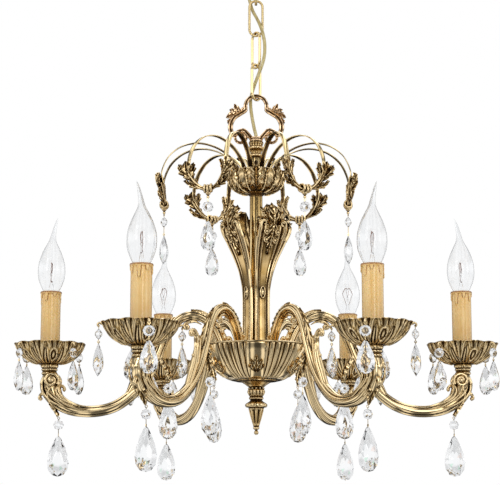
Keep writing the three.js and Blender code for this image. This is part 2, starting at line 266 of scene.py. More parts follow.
class Shape:
    """Corners and faces of one mesh, with the finish number of each face."""

    def __init__(self):
        self.corners = []
        self.faces = []
        self.finishes = []
        self.count = 0

    def add(self, corners, faces, finishes):
        corners = np.asarray(corners, float).reshape(-1, 3)
        self.corners.append(corners)
        self.faces += [tuple(self.count + i for i in face) for face in faces]
        self.finishes += finishes
        self.count += len(corners)
        return self

    def skin(self, rings, ends="cap", finish=0):
        """A skin over rings, whose ends are capped or joined to each other."""
        rings = np.asarray(rings)
        rows, columns = rings.shape[:2]
        faces = []
        for i in range(rows if ends == "join" else rows - 1):
            below, above = i * columns, (i + 1) % rows * columns
            for j in range(columns):
                k = (j + 1) % columns
                faces.append((below + j, below + k, above + k, above + j))
        if ends == "cap":
            faces.append(tuple(range(columns - 1, -1, -1)))
            faces.append(tuple(range((rows - 1) * columns, rows * columns)))
        return self.add(rings, faces, [finish] * len(faces))

    def wire(self, line, sizes, sides=8, flat=1.0, finish=0, **way):
        """A round or oval wire. Sizes are one radius, or (t, radius) stops; flat stretches it upwards."""
        if np.ndim(sizes):
            sizes = between(np.linspace(0, 1, len(line)), sizes)
        rings = swept(line, ellipse(1, flat, sides), sizes, **way)
        return self.skin(rings, "join" if way.get("closed") else "cap", finish)

    def leaf(self, spine, half_widths, **form):
        return self.skin(leaf_rings(spine, half_widths, **form))

    def ball(self, centre, radius, segments=14, rows=8, stretch=(1, 1, 1)):
        profile = arc((0, 0), radius, rows, -90, 90)[:, [0, 2]]
        rings = turned(profile, segments) * np.array(stretch, float)
        return self.skin(rings + np.array(centre, float))

    def copy_turned(self, other, angle):
        """Adds another shape, turned about the vertical by degrees."""
        a = math.radians(angle)
        turn = np.array([[math.cos(a), math.sin(a), 0], [-math.sin(a), math.cos(a), 0], [0, 0, 1]])
        return self.add(np.vstack(other.corners) @ turn, other.faces, other.finishes)

    def mesh(self, name, smooth=True):
        """A Blender mesh in metres, its heights moved to the row frame."""
        corners = np.vstack(self.corners)
        corners[:, 2] -= DROP
        data = bpy.data.meshes.new(name)
        data.from_pydata((corners * MM).tolist(), [], self.faces)
        data.polygons.foreach_set("material_index", self.finishes)
        work = bmesh.new()
        work.from_mesh(data)
        bmesh.ops.remove_doubles(work, verts=work.verts, dist=MERGE_GAP)
        bmesh.ops.recalc_face_normals(work, faces=work.faces)
        work.to_mesh(data)
        work.free()
        mark_hollows(data)
        data.polygons.foreach_set("use_smooth", [smooth] * len(data.polygons))
        if smooth:
            data.set_sharp_from_angle(angle=math.radians(SHARP_ANGLE))
        return data


def add_object(name, data):
    new = bpy.data.objects.new(name, data)
    bpy.context.scene.collection.objects.link(new)
    return new


def place(name, mesh, looks, replaced=None, body="fixture", turn=0.0, at=(0, 0, 0)):
    """Puts a mesh in the scene, turned about its own vertical by degrees and moved by millimetres.

    It rides on a body, and may replace a CAD solid."""
    piece = add_object(name, mesh)
    if not mesh.materials:
        for look in looks:
            mesh.materials.append(look)
    offset = Matrix.Translation([MM * x for x in at])
    piece.matrix_world = offset @ Matrix.Rotation(math.radians(turn), 4, "Z")
    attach(piece, body)
    if replaced:
        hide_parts(replaced)


def around(angle, radius, height):
    """The point at an angle in degrees, a radius and a height."""
    a = math.radians(angle)
    return np.array([radius * math.cos(a), radius * math.sin(a), height])


# ---------------------------------------------------------------- materials
class Nodes:
    """A short way to write a node tree."""

    def __init__(self, tree):
        self.tree = tree

    def add(self, kind, inputs=None, **settings):
        node = self.tree.nodes.new(kind)
        for key, value in settings.items():
            setattr(node, key, value)
        for key, value in (inputs or {}).items():
            self.give(node.inputs[key], value)
        return node

    def give(self, socket, value):
        """Links a socket to an output, or sets its own value."""
        if isinstance(value, bpy.types.NodeSocket):
            self.tree.links.new(value, socket)
        else:
            socket.default_value = value

    def ramp(self, factor, stops):
        """Stops are (position, colour or grey)."""
        node = self.add("ShaderNodeValToRGB", {"Fac": factor})
        points = node.color_ramp.elements
        while len(points) < len(stops):
            points.new(0.5)
        for point, (position, colour) in zip(points, stops):
            point.position = position
            point.color = (*colour, 1) if np.ndim(colour) else (colour, colour, colour, 1)
        return node.outputs["Color"]


class Surface(Nodes):
    """A material with one principled shader, patterned in the piece's own coordinates."""

    def __init__(self, name):
        self.material = bpy.data.materials.new(name)
        self.material.use_nodes = True
        super().__init__(self.material.node_tree)
        self.shader = self.tree.nodes["Principled BSDF"]
        self.place = self.add("ShaderNodeTexCoord").outputs["Object"]

    def noise(self, scale, detail=3.0, rough=0.55, stretch=(1, 1, 1)):
        mapped = self.add("ShaderNodeMapping", {"Vector": self.place, "Scale": stretch}).outputs["Vector"]
        node = self.add("ShaderNodeTexNoise",
                        {"Vector": mapped, "Scale": scale, "Detail": detail, "Roughness": rough})
        return node.outputs["Fac"]

    def hollows(self):
        return self.add("ShaderNodeAttribute", attribute_name="hollow").outputs["Fac"]

    def mixed(self, value, factor, plus):
        """The value times a factor, plus another."""
        return self.add("ShaderNodeMath", {0: value, 1: factor, 2: plus}, operation="MULTIPLY_ADD").outputs[0]

    def bump(self, height, strength, distance):
        node = self.add("ShaderNodeBump", {"Height": height, "Strength": strength, "Distance": distance})
        self.give(self.shader.inputs["Normal"], node.outputs["Normal"])

    def set(self, **values):
        """Sets or links the shader's own inputs; underscores stand for spaces."""
        for key, value in values.items():
            self.give(self.shader.inputs[key.replace("_", " ")], value)


# Brass colours. BROWN is the dark of the patina and of the painted shade.
GOLD = (0.86, 0.665, 0.378)
WARM = (0.50, 0.32, 0.11)
BROWN = (0.060, 0.028, 0.008)
CARVED_WEIGHT = 0.82    # of the measured hollows in the patina and painted shade
CLOUD_WEIGHT = 0.22     # of its unevenness
SHADE_REACH = 0.0055    # metres within which neighbours shade a surface


def brass(name, crevice, light=GOLD, warm=WARM, dark=BROWN, smooth_rough=0.10, worn_rough=0.34, hammer=0.07):
    """Polished brass with brown patina left in the hollows, and painted shade from ambient occlusion where
    neighbouring surfaces hide the light. Crevice is how far the patina and painted shade spread.
    """
    n = Surface(name)
    # Ambient occlusion darkens the colour where nearby surfaces hide the light: painted shade, mixed with the
    # brown patina of the measured hollows.
    openness = n.add("ShaderNodeAmbientOcclusion", {"Distance": SHADE_REACH}, samples=6).outputs["AO"]
    patina_and_shade = n.mixed(n.noise(70.0), CLOUD_WEIGHT, n.mixed(n.hollows(), -CARVED_WEIGHT, openness))
    colours = [(crevice, dark), (crevice + 0.17, warm), (crevice + 0.36, light), (1.0, light)]
    roughness = [(crevice, worn_rough), (crevice + 0.36, smooth_rough)]
    n.set(Base_Color=n.ramp(patina_and_shade, colours), Metallic=1.0, Roughness=n.ramp(patina_and_shade, roughness))
    n.bump(n.mixed(n.noise(620.0, 3.0, 0.6), 0.25, n.noise(210.0, 2.0, 0.5)), hammer, 0.0006)
    return n.material


def wax():
    """Ochre candle sleeve with faint streaks running down it, darker in its hollows."""
    n = Surface("candle_sleeve_wax")
    streak = n.noise(140.0, 4.0, 0.6, (1, 1, 0.09))
    patch = n.noise(60.0, 3.0, 0.5)
    pattern = n.mixed(streak, 0.6, n.mixed(patch, 0.4, 0.0))
    # Darker where the surface lies in a hollow, around the drips.
    hollow_darkened = n.mixed(pattern, 1.0, n.mixed(n.hollows(), -1.1, 0.55))
    n.set(Base_Color=n.ramp(hollow_darkened, [(0.12, (0.34, 0.14, 0.03)), (0.38, (0.76, 0.46, 0.13)),
                                      (0.62, (0.84, 0.57, 0.22))]))
    n.set(Roughness=n.ramp(patch, [(0.3, 0.34), (0.7, 0.5)]))
    n.set(Subsurface_Weight=0.1, Subsurface_Radius=(0.01, 0.005, 0.002), Coat_Weight=0.9, Coat_Roughness=0.12)
    n.bump(streak, 0.25, 0.0008)
    return n.material


def clear(name, tint, ior):
    """Clear glass with the slightest variation of its tint."""
    n = Surface(name)
    n.set(Base_Color=n.ramp(n.noise(40.0, 2.0), [(0.3, tint), (0.7, (1.0, 1.0, 1.0))]))
    n.set(Roughness=0.0, IOR=ior, Transmission_Weight=1.0)
    return n.material


def sheath():
    """Olive-gold cable plastic, mottled by the twisted conductors inside."""
    n = Surface("cable_sheath_plastic")
    strand = n.noise(220.0, 2.0, 0.5, (1, 1, 0.35))
    n.set(Base_Color=n.ramp(strand, [(0.3, (0.36, 0.27, 0.09)), (0.55, (0.56, 0.46, 0.20)),
                                     (0.8, (0.74, 0.66, 0.40))]))
    n.set(Roughness=n.ramp(strand, [(0.3, 0.18), (0.7, 0.3)]), Coat_Weight=0.6, Coat_Roughness=0.12)
    n.bump(strand, 0.2, 0.0004)
    return n.material


def plain(name, low, high, roughness, metallic, scale):
    """A plain moulded or cut finish with a fine mottle."""
    n = Surface(name)
    speck = n.noise(scale)
    n.set(Base_Color=n.ramp(speck, [(0.35, low), (0.65, high)]), Metallic=metallic)
    n.set(Roughness=n.ramp(speck, [(0.3, roughness), (0.7, roughness * 1.3)]))
    n.bump(speck, 0.08, 0.0003)
    return n.material


cast_brass = brass("cast_brass_patina_and_shade", 0.50, smooth_rough=0.09)
rosy_brass = brass("rosy_brass", 0.42, (0.90, 0.66, 0.42), (0.55, 0.31, 0.13))
# A lighter copy of the brass for the bowl, with less darkening in its hollows: painted light.
painted_light_brass = brass("painted_light_brass", 0.22)
# A darker copy of the brass for the crown dish, with more darkening in its gaps: painted shade.
painted_shade_brass = brass("painted_shade_brass", 0.55, worn_rough=0.36, hammer=0.10)
smooth_brass = brass("polished_brass_bar", 0.18, (0.86, 0.67, 0.35), (0.60, 0.41, 0.16), (0.13, 0.075, 0.028),
                     0.07, 0.24, 0.05)
thin_brass = brass("brass_ribbon", 0.34, (0.82, 0.64, 0.34), (0.58, 0.40, 0.17), (0.12, 0.07, 0.03),
                   0.14, 0.32, 0.10)
sleeve_wax = wax()
bulb_glass = clear("bulb_glass_clear", (0.97, 0.98, 0.99), 1.46)
crystal = clear("crystal_clear", (0.96, 0.98, 1.0), 1.56)
# Glass tinted red or green for a few facets, standing in for the crystals' coloured glints: painted glints.
painted_glint_red = clear("crystal_fire_red", (1.0, 0.42, 0.22), 1.56)
painted_glint_green = clear("crystal_fire_green", (0.35, 0.85, 0.55), 1.56)
holder_plastic = plain("lampholder_plastic", (0.74, 0.70, 0.60), (0.82, 0.79, 0.70), 0.4, 0.0, 300.0)
cap_metal = plain("bulb_cap_metal", (0.60, 0.52, 0.34), (0.74, 0.66, 0.46), 0.26, 1.0, 400.0)
filament_metal = plain("bulb_filament_metal", (0.34, 0.19, 0.15), (0.46, 0.28, 0.22), 0.5, 0.6, 900.0)
cable_plastic = sheath()
steel = plain("ceiling_hook_steel", (0.40, 0.40, 0.39), (0.56, 0.56, 0.54), 0.34, 1.0, 260.0)


# ---------------------------------------------------------------- camera
LENS = 112.62
SENSOR_WIDTH = 36.0
CAMERA_PLACE = (-0.00793, -1.996, -0.7781)
CAMERA_TILT = 9.882         # degrees above level


def make_camera():
    data = bpy.data.cameras.new("camera")
    data.lens = LENS
    data.sensor_width = SENSOR_WIDTH
    data.clip_end = 50.0
    camera = add_object("camera", data)
    camera.location = CAMERA_PLACE
    camera.rotation_euler = (math.radians(90 + CAMERA_TILT), 0, 0)
    bpy.context.scene.camera = camera


make_camera()

# ---------------------------------------------------------------- supply cable
CABLE_RADIUS = 2.2
CABLE_ROUTE = [
    (0, 0, 199), (0, 0, 206), (-2.5, 0.6, 217), (-5.2, 2.4, 232), (-7, 4.9, 247), (-6.9, 5.9, 258),
    (-4.6, 4.6, 268), (-1.5, 1.5, 277), (1.8, -2.6, 285), (5.6, -7.6, 294), (9, -10, 303.5),
    (11, -9.8, 313), (11.6, -8.8, 324), (10.8, -7.2, 335), (8.6, -5.6, 346), (5.9, -3.5, 355),
    (3.0, -0.5, 363), (-0.6, 2.6, 371), (-4.4, 4.5, 379), (-7.2, 4.9, 388), (-9.4, 4.4, 398),
    (-11.2, 3.4, 410), (-13.2, 1.6, 424), (-14, 0.4, 438), (-14, 0, 452), (-14, 0, 466),
]
# One stretch of cable for each joint of the chain: bodies above and below it, and the heights where
# the stretch starts and ends, at the middles of links.
CABLE_STRETCHES = [
    ("supply_cable_1", "ceiling_fitting", "chain_link_1", 466.0, 410.5),
    ("supply_cable_2", "chain_link_1", "chain_link_2", 410.5, 366.7),
    ("supply_cable_3", "chain_link_2", "chain_link_3", 366.7, 322.9),
    ("supply_cable_4", "chain_link_3", "chain_link_4", 322.9, 279.1),
    ("supply_cable_5", "chain_link_4", "fixture", 279.1, 199.0),
]


def make_cable():
    line = smooth_line(CABLE_ROUTE[::-1], 271)
    for name, above, below, high, low in CABLE_STRETCHES:
        first = int(np.argmin(abs(line[:, 2] - high)))
        last = int(np.argmin(abs(line[:, 2] - low)))
        part = line[first:last + 1]
        mesh = Shape().wire(part, CABLE_RADIUS, 16).mesh(name)
        mesh.materials.append(cable_plastic)
        piece = add_object(name, mesh)
        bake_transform(piece)
        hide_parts("supply_cable")


make_cable()

# ---------------------------------------------------------------- ceiling fitting and chain
CANOPY_BEADS = 48
SCREW_OFFSET = 14.0
CABLE_OFFSET = 14.0         # of the cable from the hook, where it leaves the canopy
LINK_WIRE_RADIUS = 1.8
LINK_HALF_WIDTH = 8.7       # to the middle of the wire
LINK_HALF_LENGTH = 24.0
LINK_STEP = 43.8
LOWEST_LINK_MIDDLE = 279.1
# From the lowest link up: name, turn in degrees, and turns of its wire about itself.
LINKS = (("chain_link_4", 52, 0), ("chain_link_3", -56, 0), ("chain_link_2", 0, 14), ("chain_link_1", 90, 0))


def make_hook():
    shape = Shape()
    plate = [(0, 492), (20.8, 492), (21.7, 492.6), (22, 493.5), (22, 494.4), (21.4, 495), (0, 495)]
    shape.skin(turned(plate, 48))
    shape.skin(turned([(3.2, 444.2), (3.2, 488), (4.6, 491), (7.5, 492.4)], 24))
    shape.wire(arc((0, 437.1), 7.5, 37)[:-1], 2.5, 16, closed=True)
    for y in (-SCREW_OFFSET, SCREW_OFFSET):
        screw = turned([(0, 490.6), (2.2, 490.8), (3.2, 491.6), (3.4, 492.3)], 16)
        shape.skin(screw + np.array([0, y, 0]))
    place("ceiling_hook_eye", shape.mesh("hook"), [steel], "ceiling_hook", "ceiling_fitting")


def make_canopy():
    outer = [(3.6, 452), (5.5, 452.2), (8, 453.2), (10, 453.4), (14, 455.5), (22, 460), (30, 465.2),
             (38, 471), (46, 478.6), (50.5, 484.8), (52, 486), (53.6, 489), (55, 494)]
    inner = [(53.2, 494), (51.8, 490), (50.2, 487), (48.6, 485.2), (44.6, 480), (36.8, 472.8),
             (28.8, 467), (21, 462), (12, 457.4), (9.2, 455.6), (3.6, 454.4)]
    shape = Shape().skin(turned(outer + inner, 72), "join")
    for i in range(CANOPY_BEADS):
        shape.ball(around(360 / CANOPY_BEADS * i, 52.6, 488.4), 1.1, 8, 5)
    nut = [(3.7, 450.2), (6.2, 450.4), (7.4, 451.6), (7.4, 453), (5.5, 454), (3.7, 454)]
    shape.skin(turned(nut, 40), "join")
    place("ceiling_canopy", shape.mesh("canopy"), [cast_brass], "canopy", "ceiling_fitting")
    grommet = turned([(2.3, 450.5), (3.6, 450.7), (4.1, 452), (4.1, 457), (2.3, 457)], 24)
    bush = Shape().skin(grommet + np.array([-CABLE_OFFSET, 0, 3.6]), "join")
    place("cable_grommet", bush.mesh("grommet"), [holder_plastic], body="ceiling_fitting")


def make_links():
    bend = LINK_HALF_LENGTH - LINK_HALF_WIDTH
    top = arc((0, bend), LINK_HALF_WIDTH, 25, 0, 180)
    bottom = arc((0, -bend), LINK_HALF_WIDTH, 25, 180, 360)
    loop = respaced(np.vstack([top, bottom, top[:1]]), 145)[:-1]
    angle = full_turn(20)
    lobe = LINK_WIRE_RADIUS * (0.80 + 0.20 * abs(np.cos(1.5 * angle)))
    rope_section = np.stack([lobe * np.cos(angle), lobe * np.sin(angle)], 1)
    for level, (name, turn, twists) in enumerate(LINKS):
        section = rope_section if twists else ellipse(LINK_WIRE_RADIUS, LINK_WIRE_RADIUS, 14)
        rings = swept(loop, section, twist=2 * math.pi * twists, closed=True)
        rings[..., 2] += LOWEST_LINK_MIDDLE + level * LINK_STEP
        mesh = Shape().skin(rings, "join").mesh(name + "_wire")
        place(name + "_wire", mesh, [smooth_brass], name, name, turn)


make_hook()
make_canopy()
make_links()

# ---------------------------------------------------------------- hanging loop, collar and tubes
LOOP_HALF = [
    (6, 202.6), (10.8, 208.6), (16.5, 213.6), (23, 211.6), (29, 207.6), (33, 213.5), (33.2, 222),
    (28.5, 231), (20.5, 236.6), (14, 241.4), (13.8, 248.5), (10.6, 255.4), (5.6, 259),
]
BAND_EDGE = [(-1, 0), (-0.9, 0.55), (-0.6, 0.8), (-0.3, 0.62), (0, 0.5), (0.3, 0.62), (0.6, 0.8), (0.9, 0.55)]
BAND_SECTION = np.array(BAND_EDGE + [(-x, -y) for x, y in BAND_EDGE])
# Leaves on the loop's shoulders: middle line, [x, height], half width, lobes.
SHOULDER_LEAVES = (
    ([(15, 239.5), (21, 240), (26, 243.6), (29, 249.3)], 4.8, 3),
    ([(20, 236.5), (27, 236), (33, 234.6), (39.4, 231.2)], 5.2, 4),
    ([(18, 238), (25, 238.6), (30.5, 240.4), (35, 241.6)], 4.6, 3),
    ([(29, 231), (32, 228.6), (35, 226.6), (37.6, 223.6)], 3.4, 2),
)


def add_shoulder_leaf(shape, side, points, half_width, lobes):
    spine = flat_line([(side * x, z) for x, z in points], 30)
    direction = spine[-1] - spine[0]
    across = np.array([-direction[2], 0, direction[0]]) / np.linalg.norm(direction)
    widths = [(0, 2.2), (0.45, half_width), (0.75, half_width * 0.75), (1, 0.3)]
    for face in (-1, 1):
        shape.leaf(spine, widths, across=face * across, lobes=lobes, notch=0.4, rib=0.9, vein=0.8,
                   cup=0.9, thickness=2.0)


def make_loop():
    shape = Shape()
    mirrored = [(-x, z) for x, z in LOOP_HALF[::-1]]
    line = flat_line(LOOP_HALF + [(0, 260.1)] + mirrored, 150)
    t = np.linspace(0, 1, 150)
    size = 3.0 + 0.4 * bump_at(t, 0.22, 0.05) + 0.4 * bump_at(t, 0.78, 0.05)
    size = np.where(abs(t - 0.5) < 0.13, 2.6, size)
    shape.skin(swept(line, BAND_SECTION, size))
    for side in (-1, 1):
        curl = spiral((side * 21, 204.4), 8.8, 4.8, side * 1.2, 90, 60)
        shape.skin(swept(curl, BAND_SECTION, np.linspace(2.5, 1.4, 60)))
        waist = spiral((side * 16.2, 240.2), 4.4, 1.6, -side * 0.9, 90 + side * 60, 24)
        shape.wire(waist, [(0, 1.7), (1, 1.1)])
        for leaf in SHOULDER_LEAVES:
            add_shoulder_leaf(shape, side, *leaf)
    bead = smooth_line([(3.1, 198.4), (7.6, 198.4), (8.6, 200.2), (7.2, 201.8), (7.8, 203.2), (6.6, 204.6),
                        (3.1, 205.2)], 26)
    shape.skin(turned(bead, 40), "join")
    place("hanging_loop_scrolls", shape.mesh("loop"), [rosy_brass], "hanging_loop")


def collar_flutes(angle, radius, height):
    return 0.45 * bump_at(height, 194, 2.5) * (radius > 7) * abs(np.cos(8 * angle))


def make_collar():
    outer = smooth_line([(6.1, 178), (8.2, 178.2), (8.6, 180), (7.2, 182), (7.1, 184), (8.0, 186),
                         (10.2, 187.6), (11, 189), (10.2, 190.6), (8.6, 192), (8.4, 194), (9.4, 196),
                         (9.3, 198)], 60)
    inner = [(3.1, 198), (3.1, 186), (6.1, 186)]
    collar = Shape().skin(turned(np.vstack([outer, inner]), 64, collar_flutes), "join")
    place("loop_collar_turned", collar.mesh("collar"), [cast_brass], "loop_collar")


def make_tubes():
    for solid, segments, profile in (
        ("upper_tube", 40, [(3.5, 131), (5.75, 131), (5.75, 184.9), (5.5, 185.5), (3.5, 185.5)]),
        ("centre_tube", 48, [(5.4, -114), (8.3, -114), (8.3, 128), (7.6, 130.5), (5.4, 130.5)]),
    ):
        tube = Shape().skin(turned(profile, segments), "join")
        place(solid + "_polished", tube.mesh(solid), [smooth_brass], solid)


make_loop()
make_collar()
make_tubes()

# ---------------------------------------------------------------- crown
DISH_LEAVES = 8
RIBBON_ROUTE = [
    (17, 133.9), (18.5, 150), (27, 168), (43, 183), (62, 191), (80, 192.5), (99, 187),
    (114, 175), (122, 161), (125, 149), (123, 138),
]
RIBBON_TURN = 12.5          # degrees to each side of an arm
RIBBON_EDGE = [(-0.7, -3.1), (-0.15, -3.3), (0.4, -2.9), (0.75, -1.4), (0.8, 0), (0.75, 1.4), (0.4, 2.9),
               (-0.15, 3.3), (-0.7, 3.1), (-0.5, 1.4), (-0.45, 0), (-0.5, -1.4)]
SWAG_RADIUS = 119.5
SWAG_MIDDLE = 113.5
SWAG_CENTRE = np.array([SWAG_RADIUS, 0, SWAG_MIDDLE])
SWAG_ROUTE = [
    (125, -30, 149), (122, -25.5, 134), (120, -14.5, 119), (SWAG_RADIUS, 0, SWAG_MIDDLE),
    (120, 14.5, 119), (122, 25.5, 134), (125, 30, 149),
]
# Leaves at each end of a garland: middle line [radius, across, height], its broad direction,
# half width and lobes.
GARLAND_LEAVES = (
    ([(120.6, 15, 119), (122.5, 24, 130), (125.5, 28.5, 141), (126.6, 29, 151)], (0.3, 0.84, -0.45), 8.8, 4),
    ([(121.4, 21, 126), (124.5, 28, 132), (127, 34, 139), (127.5, 38, 147)], (0.3, 0.7, -0.62), 6.2, 3),
    ([(121.6, 22, 128), (121, 21.5, 137), (121.5, 20.4, 144), (123.5, 19, 149)], (0.3, 0.94, 0.1), 4.8, 3),
    ([(119.8, 10, 115.5), (121.5, 18, 118), (123, 26, 121.5), (124.5, 32, 127)], (0.45, -0.35, 0.8), 4.8, 3),
)


def make_dish():
    shape = Shape()
    outer = smooth_line([(6.1, 131), (15, 131), (22, 132.2), (29.5, 137.4), (34.5, 147), (36.6, 157)], 30)
    inner = smooth_line([(35.4, 157), (33, 148), (28, 139.6), (20.4, 134), (12, 133.6), (6.1, 133.6)], 20)
    shape.skin(turned(np.vstack([outer, inner]), 72), "join")
    line = flat_line([(15, 130.9), (23, 132), (30.5, 137.2), (35.2, 146), (37.4, 154), (40.4, 160.5),
                      (44.5, 162)], 44)
    petal = Shape().leaf(line, [(0, 3.5), (0.35, 6.2), (0.62, 9.0), (0.82, 6.4), (1, 0.8)],
                         notch=0.55, rib=2.0, vein=2.6, cup=2.2, thickness=1.2, columns=17)
    line = flat_line([(14, 131.2), (23, 132.2), (29.6, 137), (34, 146), (37.4, 154.5), (38.0, 157)], 32)
    short = Shape().leaf(line, [(0, 3), (0.4, 6), (0.75, 7), (1, 1)],
                         notch=0.45, rib=1.5, vein=1.8, cup=1.6, thickness=1.2, columns=13)
    step = 360 / DISH_LEAVES
    for i in range(DISH_LEAVES):
        shape.copy_turned(petal, step * i)
        shape.copy_turned(short, step * (i + 0.5))
    shape.skin(turned([(6.1, 128.6), (13, 128.6), (14.5, 129.6), (14.2, 131), (6.1, 131)], 48), "join")
    # The dish wears the darker copy of the brass: painted shade.
    place("crown_dish_leaves", shape.mesh("dish"), [painted_shade_brass], "crown_dish")


def ribbons_shape():
    """Two ribbons, each with a small foot on the dish."""
    line = flat_line(RIBBON_ROUTE, 70)
    sizes = between(np.linspace(0, 1, 70), [(0, 1), (0.85, 1), (1, 0.8)])
    one = Shape().skin(swept(line, np.array(RIBBON_EDGE), sizes))
    foot = turned([(0, 133.8), (3.4, 133.8), (3.8, 135), (3.0, 137), (1.6, 138)], 16)
    one.skin(foot + np.array([17.3, 0, 0]))
    return Shape().copy_turned(one, -RIBBON_TURN).copy_turned(one, RIBBON_TURN)


def garland_shape():
    """A bound rope between two ribbons' ends, an upturned spray at each end, and a drop for the string."""
    garland = Shape()
    route = smooth_line(SWAG_ROUTE, 91)[10:-10]
    t = np.linspace(0, 1, len(route))
    angle = full_turn(24)
    lobe = 0.86 + 0.16 * np.cos(4 * angle)
    rope = np.stack([np.cos(angle) * lobe, np.sin(angle) * lobe], 1)
    garland.skin(swept(route, rope, 3.3 - 0.7 * bump_at(t, 0.5, 0.2), up=(1, 0, 0), twist=3.0))
    for y in (-4.4, 0, 4.4):
        band = arc((0, 0), 4.2 if y else 4.6, 25)[:-1]
        tilted = np.stack([band[:, 0], 0.42 * band[:, 0] + y, band[:, 2] + 0.06 * y * y], 1)
        garland.wire(tilted + SWAG_CENTRE, 1.7, 10, closed=True)
    for side in (-1, 1):
        for points, across, half_width, lobes in GARLAND_LEAVES:
            spine = smooth_line([(r, side * y, z) for r, y, z in points], 44)
            widths = [(0, 2.6), (0.3, half_width * 0.8), (0.62, half_width), (0.86, half_width * 0.6),
                      (1, 0.4)]
            garland.leaf(spine, widths, across=np.array(across) * (1, side, 1), lobes=lobes, rib=1.5,
                         vein=1.9, cup=1.6, columns=15)
    tail = [(0, -11.4), (1.4, -11.2), (1.9, -9.4), (1.3, -7.8), (2.9, -6.4), (3.4, -4.4), (0, -3.6)]
    return garland.skin(turned(tail, 14) + SWAG_CENTRE)


def make_swags():
    ribbon_mesh = ribbons_shape().mesh("crown_ribbons")
    garland_mesh = garland_shape().mesh("crown_garland")
    for number, angle in enumerate(ARM_ANGLES, 1):
        place(f"crown_ribbons_{number}", ribbon_mesh, [thin_brass], f"crown_swag_{number}", turn=angle)
        place(f"crown_garland_{number}", garland_mesh, [cast_brass], turn=angle)


make_dish()
make_swags()

# ---------------------------------------------------------------- column leaves
LEAF_FACE = [
    (16.4, -96), (14.8, -60), (14.4, -22), (15.2, 4), (18.8, 26), (25.4, 46), (33.6, 64.5),
    (40, 80), (41, 92), (37, 104), (31, 109),
]
LEAF_ANGLES = [33, 123, 213, 303]
SHIELD_WIDTHS = [(0, 10.2), (0.47, 9.6), (0.58, 12.6), (0.68, 17), (0.78, 20.5), (0.86, 20.5), (0.92, 16),
                 (0.97, 10), (1, 4)]
RIM_CURL = [(33.5, 17.4, 66), (39.6, 19, 78), (42.2, 17, 86), (41.6, 12.6, 86), (41.2, 12.4, 81.6),
            (41.6, 14.8, 81)]


def face_radius(height):
    """Radius of the column leaf's outer face at a height below its widest point."""
    return float(between(height, [(z, r) for r, z in LEAF_FACE[:9]]))


def add_column_foliage(shape):
    """Acanthus at the head of a column leaf, and the spray that hangs from it down the channel."""
    upright = flat_line([(37, 76), (42.4, 88), (42, 99), (38, 107), (34, 110)], 40)
    shape.leaf(upright, [(0, 4), (0.35, 8.6), (0.7, 6.4), (1, 0.5)], lobes=4, notch=0.52, rib=1.6, vein=2.0,
               cup=1.4, thickness=1.8, columns=13)
    for side in (-1, 1):
        root = np.array([38.5, side * 4, 80.0])
        for tip, half_width in (((37.5, 18.5, 104), 5.8), ((38.5, 24, 90), 6.0)):
            end = np.array(tip) * (1, side, 1)
            spine = smooth_line([root, (root + end) / 2 + (4.2, 0, 3.5), end], 28)
            direction = end - root
            across = np.cross(direction / np.linalg.norm(direction), [1.0, 0, 0])
            shape.leaf(spine, [(0, 2.6), (0.45, half_width), (0.8, half_width * 0.6), (1, 0.4)],
                       across=across, lobes=3, rib=1.4, vein=1.8, cup=1.2)
        rim_curl = smooth_line([(r, side * y, z) for r, y, z in RIM_CURL], 40)
        shape.wire(rim_curl, [(0, 2.3), (1, 1.4)], 10, up=(1, 0, 0))
        for height, offset in ((73, 8.6), (63, 6.6)):
            shape.ball((face_radius(height) + 0.4, side * offset, height), 2.4, 12, 7)
            rosette = arc((side * offset, height), 3.4, 17, 20, 300)[:, [1, 0, 2]]
            rosette[:, 0] = face_radius(height) + 0.8
            shape.wire(rosette, 0.9, up=(1, 0, 0))
    hanging = flat_line([(face_radius(z) + 0.9, z) for z in (86, 78, 69, 60, 52, 45)], 60)
    shape.leaf(hanging, [(0, 4), (0.25, 7.8), (0.55, 6), (0.8, 3.6), (1, 0.5)], across=(0, -1, 0),
               rib=1.6, vein=2.0, cup=0.6, thickness=2.0, columns=13)


def make_column_leaves():
    line = flat_line([(r - 1.3, z) for r, z in LEAF_FACE], 130)
    shape = Shape().skin(shield_rings(line, SHIELD_WIDTHS))
    add_column_foliage(shape)
    oval = [(15.2, 3.4 * math.cos(a), -2 + 7.4 * math.sin(a)) for a in full_turn(28)]
    shape.wire(oval, 0.9, up=(1, 0, 0), closed=True)
    shape.ball((14.2, 0, -2), 4.2, 18, 10, stretch=(0.5, 0.55, 1.2))
    mesh = shape.mesh("column_leaf")
    for number, angle in enumerate(LEAF_ANGLES, 1):
        place(f"column_acanthus_{number}", mesh, [cast_brass], f"column_leaf_{number}", turn=angle)


make_column_leaves()

# ---------------------------------------------------------------- bowl and finial
BOWL_SEGMENTS = 432
PANEL_HALF_ANGLE = 14.0     # degrees, of the bowl's panels between the arms
FLUTE_ANGLE = 6.8
FINIAL_BEADS = 12
# Leaves of the spray on each bowl panel: how far to one side the tip stands, length, and tilt in degrees.
SPRAY_LEAVES = ((0, 19, 0), (-1, 15, 26), (1, 15, -26), (-1.6, 11, 52), (1.6, 11, -52))
SPRAY_FACE = [(-115, 32), (-107, 44.5), (-95, 55.8), (-81, 64.6), (-71, 69)]


def bowl_relief(angle, radius, height):
    """Six crowned panels between the arms, with round flutes on each side of every arm."""
    off = abs((np.degrees(angle) + 60.0) % 60.0 - 30.0)
    fade = np.clip((height + 114.8) / 3, 0, 1) * np.clip((-70.4 - height) / 2.5, 0, 1)
    panel = 3.0 * np.clip(1 - (off / PANEL_HALF_ANGLE) ** 4, 0, 1) ** 0.5
    past = off - PANEL_HALF_ANGLE - 0.2
    flutes = 2.8 * abs(np.sin(math.pi * past / FLUTE_ANGLE)) ** 0.7 * (past > 0)
    return fade * (radius > 22.5) * (panel + flutes - 2.1)


